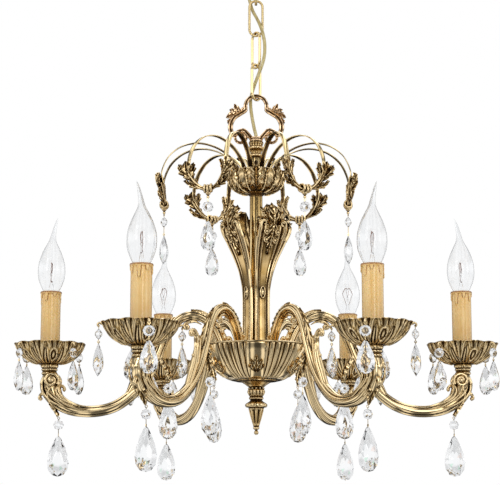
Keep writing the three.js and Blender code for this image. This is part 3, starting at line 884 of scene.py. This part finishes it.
def bowl_spray():
    spray = Shape()
    for lean, length, tilt in SPRAY_LEAVES:
        points = []
        for u in np.linspace(0, 1, 5):
            height = -106.5 + length * u * math.cos(math.radians(tilt))
            swing = lean * 0.8 - length * u * math.sin(math.radians(tilt))
            points.append((between(height, SPRAY_FACE) + 1.9, swing, height))
        spray.leaf(smooth_line(points, 20), [(0, 0.8), (0.4, 2.8), (0.8, 1.9), (1, 0.3)], lobes=2,
                   notch=0.25, rib=1.2, vein=0.4, thickness=2.6, columns=7)
    return spray


def make_bowl():
    outer = smooth_line([(22, -115), (33, -113.8), (44.5, -107), (55.8, -95), (64.6, -81), (68.6, -71.2)], 64)
    rim = [(69.8, -70.6), (70, -69.9), (69.6, -69.5), (66.8, -69.5)]
    inner = smooth_line([(66.4, -70), (60, -81), (50.5, -95.6), (40, -96.4), (8.6, -96.3)], 20)
    under = [(8.6, -101), (22, -106)]
    outside = turned(np.vstack([outer, rim]), BOWL_SEGMENTS, bowl_relief)
    inside = turned(np.vstack([inner, under]), BOWL_SEGMENTS)
    shape = Shape().skin(np.vstack([outside, inside]), "join")
    spray = bowl_spray()
    for angle in ARM_ANGLES:
        shape.copy_turned(spray, angle + 30)
    # The bowl wears the lighter copy of the brass: painted light.
    place("bowl_panels", shape.mesh("bowl"), [painted_light_brass], "bowl")


def finial_relief(angle, radius, height):
    flutes = 1.7 * bump_at(height, -129.6, 3.2) * (abs(np.cos(7 * angle)) - 0.7)
    beads = 1.1 * bump_at(height, -135.4, 1.6) * (abs(np.cos(8 * angle)) - 0.5)
    taper = 0.34 * radius * np.clip((-149.5 - height) / 3, 0, 1) * np.clip((height + 171) / 4, 0, 1)
    return flutes + beads - taper * (1 - abs(np.cos(4 * angle)))


def make_finial():
    profile = np.vstack([
        smooth_line([(0, -183), (1.9, -182.4), (2.9, -180.4), (2.4, -178.4), (1.4, -177.2)], 14),
        smooth_line([(1.6, -176.8), (3.4, -175.8), (4.2, -174.4), (3.6, -173), (4.4, -170), (7.4, -160),
                     (9.8, -150.5)], 30),
        smooth_line([(9.9, -148.6), (13.4, -147.8), (14.2, -146), (14, -144.4), (12.6, -143.2),
                     (8.6, -140.6), (7.4, -138.8)], 24),
        smooth_line([(8.6, -138.2), (9.2, -137), (8.4, -135.8), (7.8, -134.8), (9, -133.4), (10.6, -130),
                     (10.8, -127), (9.6, -125.4)], 30),
        smooth_line([(8.6, -124.8), (8.8, -123.4), (10.8, -122), (14, -119.4), (20, -116.2),
                     (27, -115.3)], 24),
        np.array([(27, -114.6), (0, -114.6)]),
    ])
    shape = Shape().skin(turned(profile, 168, finial_relief))
    for i in range(FINIAL_BEADS):
        shape.ball(around(360 / FINIAL_BEADS * i, 9.6, -124.4), 1.25, 8, 6)
    place("finial_turned", shape.mesh("finial"), [cast_brass], "finial")


make_bowl()
make_finial()

# ---------------------------------------------------------------- arms
ARM_ROUTE = [
    (40, -96), (40.5, -83), (44.5, -66), (53.5, -47.5), (67.5, -34.8), (85, -30.8),
    (101, -38), (115.5, -58), (126.5, -84), (139.5, -110), (157, -131), (181, -147.5), (209, -153.5),
    (235, -150), (253, -139.5), (261.5, -125), (262.5, -108),
]
# Half thickness of an arm in its own plane and across it, as (t, size) stops.
ARM_IN_PLANE = [(0, 5.0), (0.12, 5.4), (0.3, 5.9), (0.5, 6.2), (0.62, 7.0), (0.8, 7.4), (0.9, 9.8),
                (0.95, 13.2), (0.975, 13.6), (1, 10.2)]
ARM_ACROSS = [(0, 6.2), (0.3, 6.6), (0.6, 7.4), (0.85, 8.4), (0.95, 10.6), (1, 12.4)]
REED_EDGE = [
    (-1, 0), (-0.95, 0.32), (-0.80, 0.54), (-0.66, 0.56), (-0.60, 0.38), (-0.53, 0.60), (-0.36, 0.78),
    (-0.12, 0.85), (0.12, 0.85), (0.36, 0.78), (0.53, 0.60), (0.60, 0.38), (0.66, 0.56), (0.80, 0.54),
    (0.95, 0.32),
]
REED_SECTION = np.array(REED_EDGE + [(-x, -y) for x, y in REED_EDGE])
CREST_ROUTE = [(84, -25.6), (72, -26.6), (59, -33.5), (49, -44), (41.6, -56), (37.4, -64), (33.2, -65),
               (32.6, -60.6), (35.4, -59)]
# Curls in the plane of an arm: route, points along it, stretch and sides of the section, sizes, and
# the middle and radius of the ball that each ends in.
ARM_CURLS = (
    # under the arch
    ([(70, -42.5), (78, -38.5), (86, -38.8), (92, -42.6), (91.6, -47), (87.4, -47.4), (86.6, -44)],
     50, 1.3, 10, [(0, 0.5), (0.4, 2.4), (1, 1.7)], (88.6, -44.2), 2.7, 14, 8),
    # above the place where the lower scroll leaves the limb
    ([(150, -106), (146.5, -92), (143.6, -79), (145, -70), (151, -64.5), (157, -66), (157, -71),
      (152.6, -71)],
     60, 1.5, 10, [(0, 1), (0.5, 2.6), (1, 1.6)], (153.8, -68.6), 3.0, 14, 8),
    # spurs of the scroll below the pan
    ([(252, -121), (247, -121.5), (244, -125.5), (245.6, -128)],
     20, 1.2, 8, [(0, 2.6), (1, 1.4)], (244.6, -125.6), 2.4, 12, 7),
    ([(270, -129), (274.5, -132.5), (276.2, -137), (273.4, -139)],
     20, 1.2, 8, [(0, 2.6), (1, 1.4)], (274.2, -137.4), 2.3, 12, 7),
)
# Leaves in the plane of an arm: route, points along it, half widths and form.
ARM_LEAVES = (
    # a spur below the limb, which holds the inner string
    ([(127, -78), (121, -88), (115, -98), (111.6, -108), (112, -113)], 34,
     [(0, 4.5), (0.4, 6.6), (0.75, 4.6), (1, 0.6)],
     dict(notch=0.4, rib=1.2, vein=1.1, cup=1.6, thickness=4.2)),
    # along the outside of the descending limb
    ([(104, -33), (113, -43), (121, -58), (128, -74), (134, -88), (138, -95)], 44,
     [(0, 1), (0.3, 4.6), (0.6, 5.6), (0.85, 4), (1, 0.6)],
     dict(lobes=6, notch=0.3, rib=0.9, vein=1.0, cup=1.6)),
    # the heel of the scroll, which holds the outer string
    ([(264, -136), (260, -146), (255, -153), (251.4, -159.4)], 28,
     [(0, 6.8), (0.35, 6.4), (0.7, 3.8), (1, 0.9)],
     dict(lobes=4, notch=0.35, rib=1.0, vein=1.0, cup=1.2, thickness=3.0)),
)
# Raised lines on each side of the scroll.
SCROLL_RELIEFS = (
    [(272, -118), (271, -129), (263, -139), (250, -146), (236, -150)],
    [(268, -124), (262, -133), (252, -140), (240, -144.5)],
    [(252, -120), (254, -128), (249, -137), (238, -143), (224, -148)],
    [(263, -126), (256, -134), (246, -142), (232, -149), (214, -152)],
    [(260, -122), (265, -131), (262, -142), (254, -152)],
)
VOLUTE_CENTRE = (260.5, -114.5)


def add_crest(shape):
    """A knobbly crest on the column side of an arm, ending in a ball above the bowl."""
    crest = flat_line(CREST_ROUTE, 120)
    u = np.linspace(0, 1, 120)
    knobs = 1 + 0.16 * np.cos(2 * math.pi * 9 * u) * (u < 0.8)
    sizes = between(u, [(0, 0.6), (0.2, 2.2), (0.6, 3.0), (0.8, 2.8), (1, 1.8)]) * knobs
    shape.skin(swept(crest, ellipse(1, 1.25, 12), sizes))
    shape.leaf(crest[:92] + np.array([0, 0, 0.6]), [(0, 1), (0.3, 5.2), (0.75, 6.0), (1, 2)],
               lobes=8, notch=0.42, rib=1.4, vein=1.4, cup=2.2, thickness=2.4, columns=13)
    shape.ball((35, 0, -60.4), 3.6)


def add_limb_sheath(shape):
    """The thickening where the lower scroll leaves the limb."""
    line = flat_line([(166, -136), (153, -116), (144.5, -97), (139.5, -82), (137.5, -70)], 46)
    u = np.linspace(0, 1, 46)
    sizes = np.stack([between(u, [(0, 3), (0.3, 7), (0.7, 7), (1, 2.4)]),
                      between(u, [(0, 5), (0.5, 6), (1, 2.6)])], 1)
    shape.skin(swept(line, REED_SECTION, sizes))
    shape.ball((151.6, 0, -95), 2.2)


def add_scroll_side(shape, side):
    """A volute with its eye, and the raised lines that fan from it."""
    volute = spiral(VOLUTE_CENTRE, 9.6, 2.6, -1.6, 210, 80)
    volute[:, 1] = side * np.linspace(8.8, 11.4, 80)
    shape.wire(volute, [(0, 2.6), (1, 1.5)])
    shape.ball((VOLUTE_CENTRE[0], side * 10.6, VOLUTE_CENTRE[1]), 3.6, 18, 10, stretch=(1.15, 0.6, 0.9))
    for number, relief in enumerate(SCROLL_RELIEFS):
        route = smooth_line([(r, side * (9.5 - 0.045 * (272 - r)), z) for r, z in relief], 36)
        shape.wire(route, [(0, 0.7), (0.3, 1.9 - 0.12 * number), (1, 0.4)])


def arm_shape():
    shape = Shape()
    t = np.linspace(0, 1, 190)
    sizes = np.stack([between(t, ARM_IN_PLANE), between(t, ARM_ACROSS)], 1)
    shape.skin(swept(flat_line(ARM_ROUTE, 190), REED_SECTION, sizes))
    add_crest(shape)
    add_limb_sheath(shape)
    for points, count, flat, sides, sizes, middle, radius, segments, rows in ARM_CURLS:
        shape.wire(flat_line(points, count), sizes, sides, flat)
        shape.ball((middle[0], 0, middle[1]), radius, segments, rows)
    for points, count, widths, form in ARM_LEAVES:
        shape.leaf(flat_line(points, count), widths, **form)
    neck = smooth_line([(0, -116), (7.5, -112), (8.6, -107.6), (9.6, -106.4), (10.2, -105), (9.4, -103.8),
                        (9.0, -102.6), (10.0, -101.4), (10.4, -100.2), (9.4, -99), (10.6, -97.8),
                        (11.3, -96), (11.3, -94.4), (10.9, -93.3)], 60)
    shape.skin(turned(np.vstack([neck, [(0, -93.3)]]), 48) + np.array([ARM_RADIUS, 0, 0]))
    for side in (-1, 1):
        add_scroll_side(shape, side)
    return shape


# ---------------------------------------------------------------- drip pans, sleeves, holders, bulbs
PAN_PETALS = 12
PAN_SEGMENTS = 336
INSIDE_RELIEF = 0.45        # of the petals, as a share of the relief outside
SLEEVE_RADIUS = 12.4
# Wax drips: angle in degrees and length.
DRIPS = ((15, 9), (62, 14), (100, 7), (150, 11), (196, 16), (240, 8), (281, 12), (330, 6))
BULB_PROFILE = [
    (6.9, -1.6), (7.6, -0.6), (9.6, 0.6), (13.6, 8), (16.6, 17), (17.5, 26), (16.6, 37), (13, 49), (8.4, 59),
    (4.6, 67), (3, 77), (1.8, 88), (0.4, 96.6),
]
BULB_WALL = 0.55
TIP_BEND_START = 55.0
TIP_OFFSET = 7.0
TIP_TURNS = [160, 100, 40, 0, 195, 340]
# Wires inside a bulb: route and radius.
BULB_WIRES = (
    ([(0, -1.4, 12), (0, -4, 20), (0, -7.4, 29)], 0.28),
    ([(0, 1.4, 12), (0, 4, 20), (0, 7.4, 29)], 0.28),
    ([(0, 0, 24), (0.8, -1.6, 31), (0, -2.4, 38)], 0.22),
    ([(0, 0, 24), (-0.8, 1.6, 31), (0, 2.4, 38)], 0.22),
    ([(0, -7.4, 29), (0.6, -5, 34.5), (0, -2.4, 37.6), (-0.5, 0, 36), (0, 2.4, 37.6), (0.6, 5, 34.5),
      (0, 7.4, 29)], 0.42),
)


def petal_relief(angle, t):
    """Height of the pan's petals: fanned veins with dark gaps between, a shell on every other one."""
    turn = angle * PAN_PETALS / (2 * math.pi)
    s = 2 * (turn % 1.0) - 1
    shelled = (np.floor(turn) % 2) * bump_at(t, 0.58, 0.34)
    crown = 2.5 * np.sqrt(np.clip(1 - s * s, 0, 1)) - 1.7
    rib = 0.9 * bump_at(s, 0, 0.12)
    flank = np.clip((abs(s) - 0.14) / 0.14, 0, 1)
    veins = -1.6 * (0.5 + 0.5 * np.cos(2 * math.pi * (1.5 * t - 1.5 * abs(s)))) ** 3 * flank
    away = np.hypot(s / 0.5, (t - 0.58) / 0.24)
    shell = bump_at(away, 0.95, 0.2) - bump_at(away, 0.55, 0.18) + 0.8 * bump_at(away, 0, 0.3)
    return crown + (1 - shelled) * (rib + veins) + shelled * shell


def pan_side(points, outwards, share):
    """Rings of one face of a pan. Outwards is 1 outside and -1 inside; share scales its relief."""
    angle = full_turn(PAN_SEGMENTS)
    peak = 1 - abs(2 * ((angle * PAN_PETALS / (2 * math.pi)) % 1.0) - 1) ** 1.6
    rings = []
    for i, ((radius, height), tangent) in enumerate(zip(points, tangents_of(points))):
        t = i / (len(points) - 1)
        if outwards < 0:
            t = 1 - t
        strength = share * min(1, max(0, (radius - 13) / 5)) * min(1.0, 0.35 + (1 - t) * 6)
        relief = outwards * strength * petal_relief(angle, t)
        lift = 1.5 * (peak - 0.55) * max(0, (t - 0.75) / 0.25) ** 1.5
        rings.append(ring(radius + relief * tangent[1], height - relief * tangent[0] + lift, angle))
    return rings


def pan_mesh():
    outer = smooth_line([(5.3, -93), (11.5, -93), (19, -91.8), (27, -88.3), (34.6, -82.6), (40.4, -75.6),
                         (43.4, -70.4), (45.4, -67.6)], 60)
    inner = smooth_line([(44.2, -67.2), (41, -73.4), (36, -79), (29.5, -84), (22, -88.2), (14.5, -90.5),
                         (5.3, -90.5)], 26)
    shape = Shape().skin(pan_side(outer, 1, 1.0) + pan_side(inner, -1, INSIDE_RELIEF), "join")
    hook = Shape().wire(flat_line([(41, -70.5), (44.5, -70.2), (47.6, -69.4), (49.6, -71), (49, -73.2),
                                   (47.2, -72.4)], 24), [(0, 1.7), (1, 0.8)], 8, 1.2)
    hook.ball((45.4, 0, -69.6), 2.0, 10, 6)
    for azimuth in PAN_HOOK_ANGLES:
        shape.copy_turned(hook, azimuth)
    return shape.mesh("drip_pan")


def sleeve_mesh():
    """A candle sleeve whose top edge is rolled, with wax drips of uneven length below it."""
    angle = full_turn(168)
    reach = np.full(168, 3.0)
    for centre, length in DRIPS:
        off = (np.degrees(angle) - centre + 180) % 360 - 180
        reach = np.maximum(reach, length * np.exp(-(off / 8.0) ** 4) + 1.0)
    rings = []
    for z in np.concatenate([np.linspace(-90.2, -20, 24), np.linspace(-19, -1.2, 44)]):
        bulge = 1.1 / (1 + np.exp((-z - reach) * 2.2)) + 0.35 * bump_at(-z, reach - 1.2, 1.4)
        rings.append(ring(SLEEVE_RADIUS + np.minimum(bulge, 1.4), z, angle))
    for radius, z in ((13.55, -0.5), (13.1, 0), (12.1, 0), (11.5, -0.6), (11.4, -4), (11.4, -90.2)):
        rings.append(ring(radius, z, angle))
    return Shape().skin(rings, "join").mesh("candle_sleeve")


def holder_mesh():
    profile = [(0, -92.8), (4.8, -92.8), (4.8, -90.3), (10.2, -90.2), (10.6, -89.6), (10.6, -3), (10.2, -2.2),
               (8.2, -2.0), (7.5, -2.6), (7.4, -27), (0, -27)]
    return Shape().skin(turned(profile, 40)).mesh("lampholder")


def envelope_mesh():
    """The glass of a bulb, with an inner wall, and its drawn-out tip leaning sideways."""
    outer = smooth_line(BULB_PROFILE, 60)
    hollow = outer[outer[:, 1] < 84].copy()
    inset = BULB_WALL + 0.5 * np.clip((hollow[:, 1] - 50) / 30, 0, 1)
    hollow[:, 0] = np.maximum(0.3, hollow[:, 0] - inset)
    rings = turned(np.vstack([outer, hollow[:0:-1]]), 48)
    rise = np.maximum(0, rings[..., 2] - TIP_BEND_START) / (97 - TIP_BEND_START)
    rings[..., 0] += TIP_OFFSET * rise ** 2
    return Shape().skin(rings, "join").mesh("bulb_envelope")


def bulb_cap_mesh():
    profile = [(0, -26), (3.4, -25.9), (4.2, -24.6), (5.6, -23.6)]
    for i in range(7):
        profile += [(6.9, -22.6 + 2.4 * i), (6.3, -21.4 + 2.4 * i)]
    profile += [(6.8, -6), (6.9, -1.8), (6.4, -1.4), (0, -1.4)]
    return Shape().skin(turned(profile, 36)).mesh("bulb_cap")


def bulb_inside_mesh():
    """The glass stem, and the filament with the wires that hold it."""
    stem = smooth_line([(3.6, 1.0), (3.0, 6), (1.6, 13), (1.3, 20), (2.1, 23.5), (0.2, 25)], 24)
    inside = Shape().skin(turned(stem, 18))
    for points, radius in BULB_WIRES:
        inside.wire(smooth_line(points, 22), radius, 6, finish=1, up=(1, 0, 0))
    return inside.mesh("bulb_inside")


def make_arms():
    # Name, mesh, look, CAD solid, and how many degrees further it is turned on each arm.
    fixed = (
        ("pan_petals", pan_mesh(), cast_brass, "drip_pan", 0),
        ("sleeve_drips", sleeve_mesh(), sleeve_wax, "candle_sleeve", 37),
        ("holder_insert", holder_mesh(), holder_plastic, "lampholder", 0),
    )
    arm = arm_shape().mesh("arm")
    envelope = envelope_mesh()
    cap = bulb_cap_mesh()
    inside = bulb_inside_mesh()
    for number, angle in enumerate(ARM_ANGLES, 1):
        end = around(angle, ARM_RADIUS, 0)
        place(f"arm_scroll_{number}", arm, [cast_brass], f"arm_{number}", turn=angle)
        for name, mesh, look, solid, step in fixed:
            place(f"{name}_{number}", mesh, [look], f"{solid}_{number}", turn=angle + step * number, at=end)
        bulb = f"bulb_{number}"
        tip = TIP_TURNS[number - 1]
        place(f"bulb_envelope_{number}", envelope, [bulb_glass], bulb, bulb, tip, end)
        place(f"bulb_cap_{number}", cap, [cap_metal], None, bulb, tip, end)
        place(f"bulb_filament_{number}", inside, [bulb_glass, filament_metal], None, bulb, tip, end)


make_arms()


# ---------------------------------------------------------------- crystals
STRING_LOOKS = [crystal, smooth_brass, painted_glint_red, painted_glint_green]
PIN_RADIUS = 0.45
PAINTED_GLINT_SHARE = 0.2            # of the facets near a drop's foot, which are tinted to show a spectral colour: painted glints
# Strings: bead and drop as (half width, length, depth), the gap between them, and a random seed.
PAN_STRING = ((7.2, 13.0, 3.8), (11.4, 38, 5.4), 1.6, 11)
HEEL_STRING = ((6.8, 12.5, 3.6), (15.0, 51.5, 6.2), 5.5, 23)
INNER_STRING = ((7.0, 13.5, 3.8), (13.4, 50, 6.4), 6.0, 35)
CROWN_STRING = ((7.2, 14.0, 3.8), (10.4, 38, 5.2), 8.5, 47)
# Where the strings hang, as (radius, height). That of a pan is from the middle of the pan.
PAN_HOOK = (48.2, -71.6)
HEEL_HOOK = (251, -160.2)
INNER_HOOK = (112, -113.4)
CROWN_HOOK = (SWAG_RADIUS, SWAG_MIDDLE - 11.0)
PAN_STRING_TWIST = 10.0     # degrees
# How the strings have come to rest, in degrees about their own wires.
INNER_FACING = [14, -22, 31, -9, 20, -34]
HEEL_FACING = [12, 24, -16, 8, -20, 28]
CROWN_FACING = [70, 20, -9, -66, 12, -22]


def faceted_outline(count, half_width, length, pear):
    """An outline of a bead or a pear-shaped drop, [across, up from its bottom]."""
    angle = full_turn(count) - math.pi / 2
    across = half_width * np.cos(angle)
    up = length / 2 * (1 + np.sin(angle))
    if pear:
        rise = up / length
        across = across * (1 - 0.62 * rise ** 1.8) * 1.06
        up = length * rise ** 1.12
    return np.stack([across, up], 1)


def add_crystal(shape, top, half_width, length, depth, pear, count, rng):
    """A cut crystal hanging below a point: girdle, bevel facets turned half a step, and a table."""
    bottom = top - length
    girdle = faceted_outline(count, half_width, length, pear)
    centre = np.array([0, length * (0.40 if pear else 0.5)])
    halfway = (girdle + np.roll(girdle, -1, 0)) / 2
    bevel = centre + (halfway - centre) * 0.66
    table = centre + (girdle - centre) * 0.34
    corners = [(x, 0.0, bottom + z) for x, z in girdle]
    faces = []
    painted_glint_finishes = []
    for side in (-1, 1):
        first = len(corners)
        corners += [(x, side * depth * 0.62, bottom + z) for x, z in bevel]
        corners += [(x, side * depth, bottom + z) for x, z in table]
        for i in range(count):
            j = (i + 1) % count
            low, high = first + i, first + j
            inner_low, inner_high = first + count + i, first + count + j
            faces += [(i, j, low), (low, j, high), (low, inner_high, inner_low), (low, high, inner_high)]
            # A few facets near the foot are tinted red or green: painted glints of spectral colour.
            near_foot = girdle[i][1] < 0.4 * length
            painted_glint_finishes += [0, 0, 0, 2 + int(rng.random() < 0.5) if near_foot and rng.random() < PAINTED_GLINT_SHARE else 0]
        faces.append(tuple(range(first + count, first + 2 * count)))
        painted_glint_finishes.append(0)
    shape.add(corners, faces, painted_glint_finishes)


def crystal_string(name, bead, drop, gap, seed):
    """A bead and a drop on brass pins, hanging from the origin."""
    rng = random.Random(seed)
    shape = Shape()

    def loop(z, radius, order, up):
        line = arc((0, z), radius, 13)[:-1, order]
        shape.wire(line, PIN_RADIUS, 6, finish=1, up=up, closed=True)

    def rod(low, high):
        shape.skin(turned([(PIN_RADIUS, low), (PIN_RADIUS, high)], 6), finish=1)

    loop(-1.6, 1.5, [0, 1, 2], (0, 1, 0))
    bead_top = -4.1
    rod(bead_top - 0.7, bead_top + 1.3)
    add_crystal(shape, bead_top, *bead, False, 8, rng)
    bead_bottom = bead_top - bead[1]
    rod(bead_bottom - gap, bead_bottom + 0.8)
    loop(bead_bottom - gap - 0.8, 1.2, [1, 0, 2], (1, 0, 0))
    drop_top = bead_bottom - gap - 1.6
    rod(drop_top - 1.6, drop_top + 0.8)
    add_crystal(shape, drop_top, *drop, True, 14, rng)
    return shape.mesh(name, smooth=False)


def make_strings():
    pan_string = crystal_string("pan_string", *PAN_STRING)
    heel_string = crystal_string("heel_string", *HEEL_STRING)
    inner_string = crystal_string("inner_string", *INNER_STRING)
    crown_string = crystal_string("crown_string", *CROWN_STRING)
    for i, angle in enumerate(ARM_ANGLES):
        number = i + 1
        for k, azimuth in enumerate(PAN_HOOK_ANGLES, 1):
            at = around(angle, ARM_RADIUS, 0) + around(angle + azimuth, *PAN_HOOK)
            turn = angle + azimuth + 90 + PAN_STRING_TWIST * math.sin(7.0 * number + 2.3 * k)
            place(f"pan_string_{number}_{k}", pan_string, STRING_LOOKS, turn=turn, at=at)
        pendant = f"arm_pendant_{number}"
        place(f"heel_string_{number}", heel_string, STRING_LOOKS, pendant, pendant, HEEL_FACING[i],
              around(angle, *HEEL_HOOK))
        place(f"inner_string_{number}", inner_string, STRING_LOOKS, turn=INNER_FACING[i],
              at=around(angle, *INNER_HOOK))
        place(f"crown_string_{number}", crown_string, STRING_LOOKS, turn=CROWN_FACING[i],
              at=around(angle, *CROWN_HOOK))


make_strings()

# ---------------------------------------------------------------- floor, light and backdrop
FLOOR_HALF = 6.0
FLOOR_LEVEL = -1.25
# What the metal sees by direction, as (start, grey) of flat panels along each axis.
HEIGHT_PANELS = [(0.0, 0.7), (0.16, 0.25), (0.30, 0.85), (0.44, 0.18), (0.55, 1.0), (0.67, 0.15),
                 (0.78, 1.0), (0.92, 1.2)]
SIDEWAYS_PANELS = [(0.0, 1.0), (0.10, 0.2), (0.17, 1.0), (0.30, 0.06), (0.38, 1.05), (0.46, 0.06),
                   (0.60, 1.05), (0.72, 0.12), (0.83, 1.0)]
# A darker wall behind the lamp outlines its round bars.
DEPTH_STOPS = [(0.0, 1.0), (0.78, 1.0), (0.90, 0.30), (1.0, 0.20)]
GLASS_STOPS = [(0.0, 0.5), (0.3, 0.8), (0.47, 1.0), (0.55, 1.0), (0.72, 0.7), (1.0, 1.0)]
WHITE = (1, 1, 1, 1)
# Area lights: name, place, aim, size and power.
LIGHTS = (
    ("key_left", (-1.6, -1.8, 0.5), (0, 0, -0.45), (0.9, 1.4), 8),
    ("fill_right", (1.9, -1.3, 0.2), (0, 0, -0.45), (0.7, 1.4), 4),
    ("strip_front", (0.55, -2.2, -0.3), (0, 0, -0.5), (0.6, 1.8), 7),
    ("back_top", (0.3, 1.6, 0.9), (0, 0, -0.4), (1.4, 0.6), 6),
)


def make_floor():
    mesh = bpy.data.meshes.new("floor")
    corners = [(x * FLOOR_HALF, y * FLOOR_HALF, FLOOR_LEVEL) for x, y in ((-1, -1), (1, -1), (1, 1), (-1, 1))]
    mesh.from_pydata(corners, [], [(0, 1, 2, 3)])
    mesh.materials.append(plain("studio_floor", (0.86, 0.86, 0.86), (0.88, 0.88, 0.88), 0.7, 0.0, 3.0))
    floor = add_object("floor", mesh)
    floor.visible_glossy = False


def area_light(name, location, target, size, power):
    data = bpy.data.lights.new(name, "AREA")
    data.shape = "RECTANGLE"
    data.size, data.size_y = size
    data.energy = power
    light = add_object(name, data)
    light.location = location
    light.rotation_euler = (Vector(target) - light.location).to_track_quat("-Z", "Y").to_euler()
    light.visible_transmission = False


def panels(steps, edge):
    """Stops for flat panels with soft edges, from (start, grey) steps."""
    stops = [steps[0]]
    for (_, before), (start, after) in zip(steps, steps[1:]):
        stops += [(start - edge, before), (start + edge, after)]
    return stops


def make_world():
    """White to the camera; to the metal, a studio of bright panels and darker gaps."""
    world = bpy.data.worlds.new("studio")
    bpy.context.scene.world = world
    world.use_nodes = True
    n = Nodes(world.node_tree)
    n.tree.nodes.clear()
    ray = n.add("ShaderNodeLightPath").outputs
    way = n.add("ShaderNodeSeparateXYZ", {0: n.add("ShaderNodeTexCoord").outputs["Generated"]}).outputs

    def along(axis, stops):
        remap = n.add("ShaderNodeMapRange", {"Value": way[axis], "From Min": -1.0})
        return n.ramp(remap.outputs["Result"], stops)

    def product(a, b, factor):
        sockets = {"Factor": factor, "A": a, "B": b}
        return n.add("ShaderNodeMix", sockets, data_type="RGBA", blend_type="MULTIPLY").outputs["Result"]

    def shade(colour, strength):
        return n.add("ShaderNodeBackground", {"Color": colour, "Strength": strength}).outputs[0]

    def choice(ray_kind, otherwise, view):
        return n.add("ShaderNodeMixShader", {0: ray[ray_kind], 1: otherwise, 2: view}).outputs[0]

    height = along("Z", panels(HEIGHT_PANELS, 0.028))
    sideways = along("X", panels(SIDEWAYS_PANELS, 0.016))
    studio = product(height, sideways, 0.9)
    metal_view = shade(product(studio, along("Y", DEPTH_STOPS), 1.0), 1.46)
    view = choice("Is Transmission Ray", metal_view, shade(along("Z", GLASS_STOPS), 1.0))
    view = choice("Is Diffuse Ray", view, shade(WHITE, 0.66))
    view = choice("Is Camera Ray", view, shade(WHITE, 1.0))
    n.add("ShaderNodeOutputWorld", {"Surface": view})
    bpy.context.scene.view_settings.view_transform = "Standard"


make_floor()
make_world()
for light in LIGHTS:
    area_light(*light)
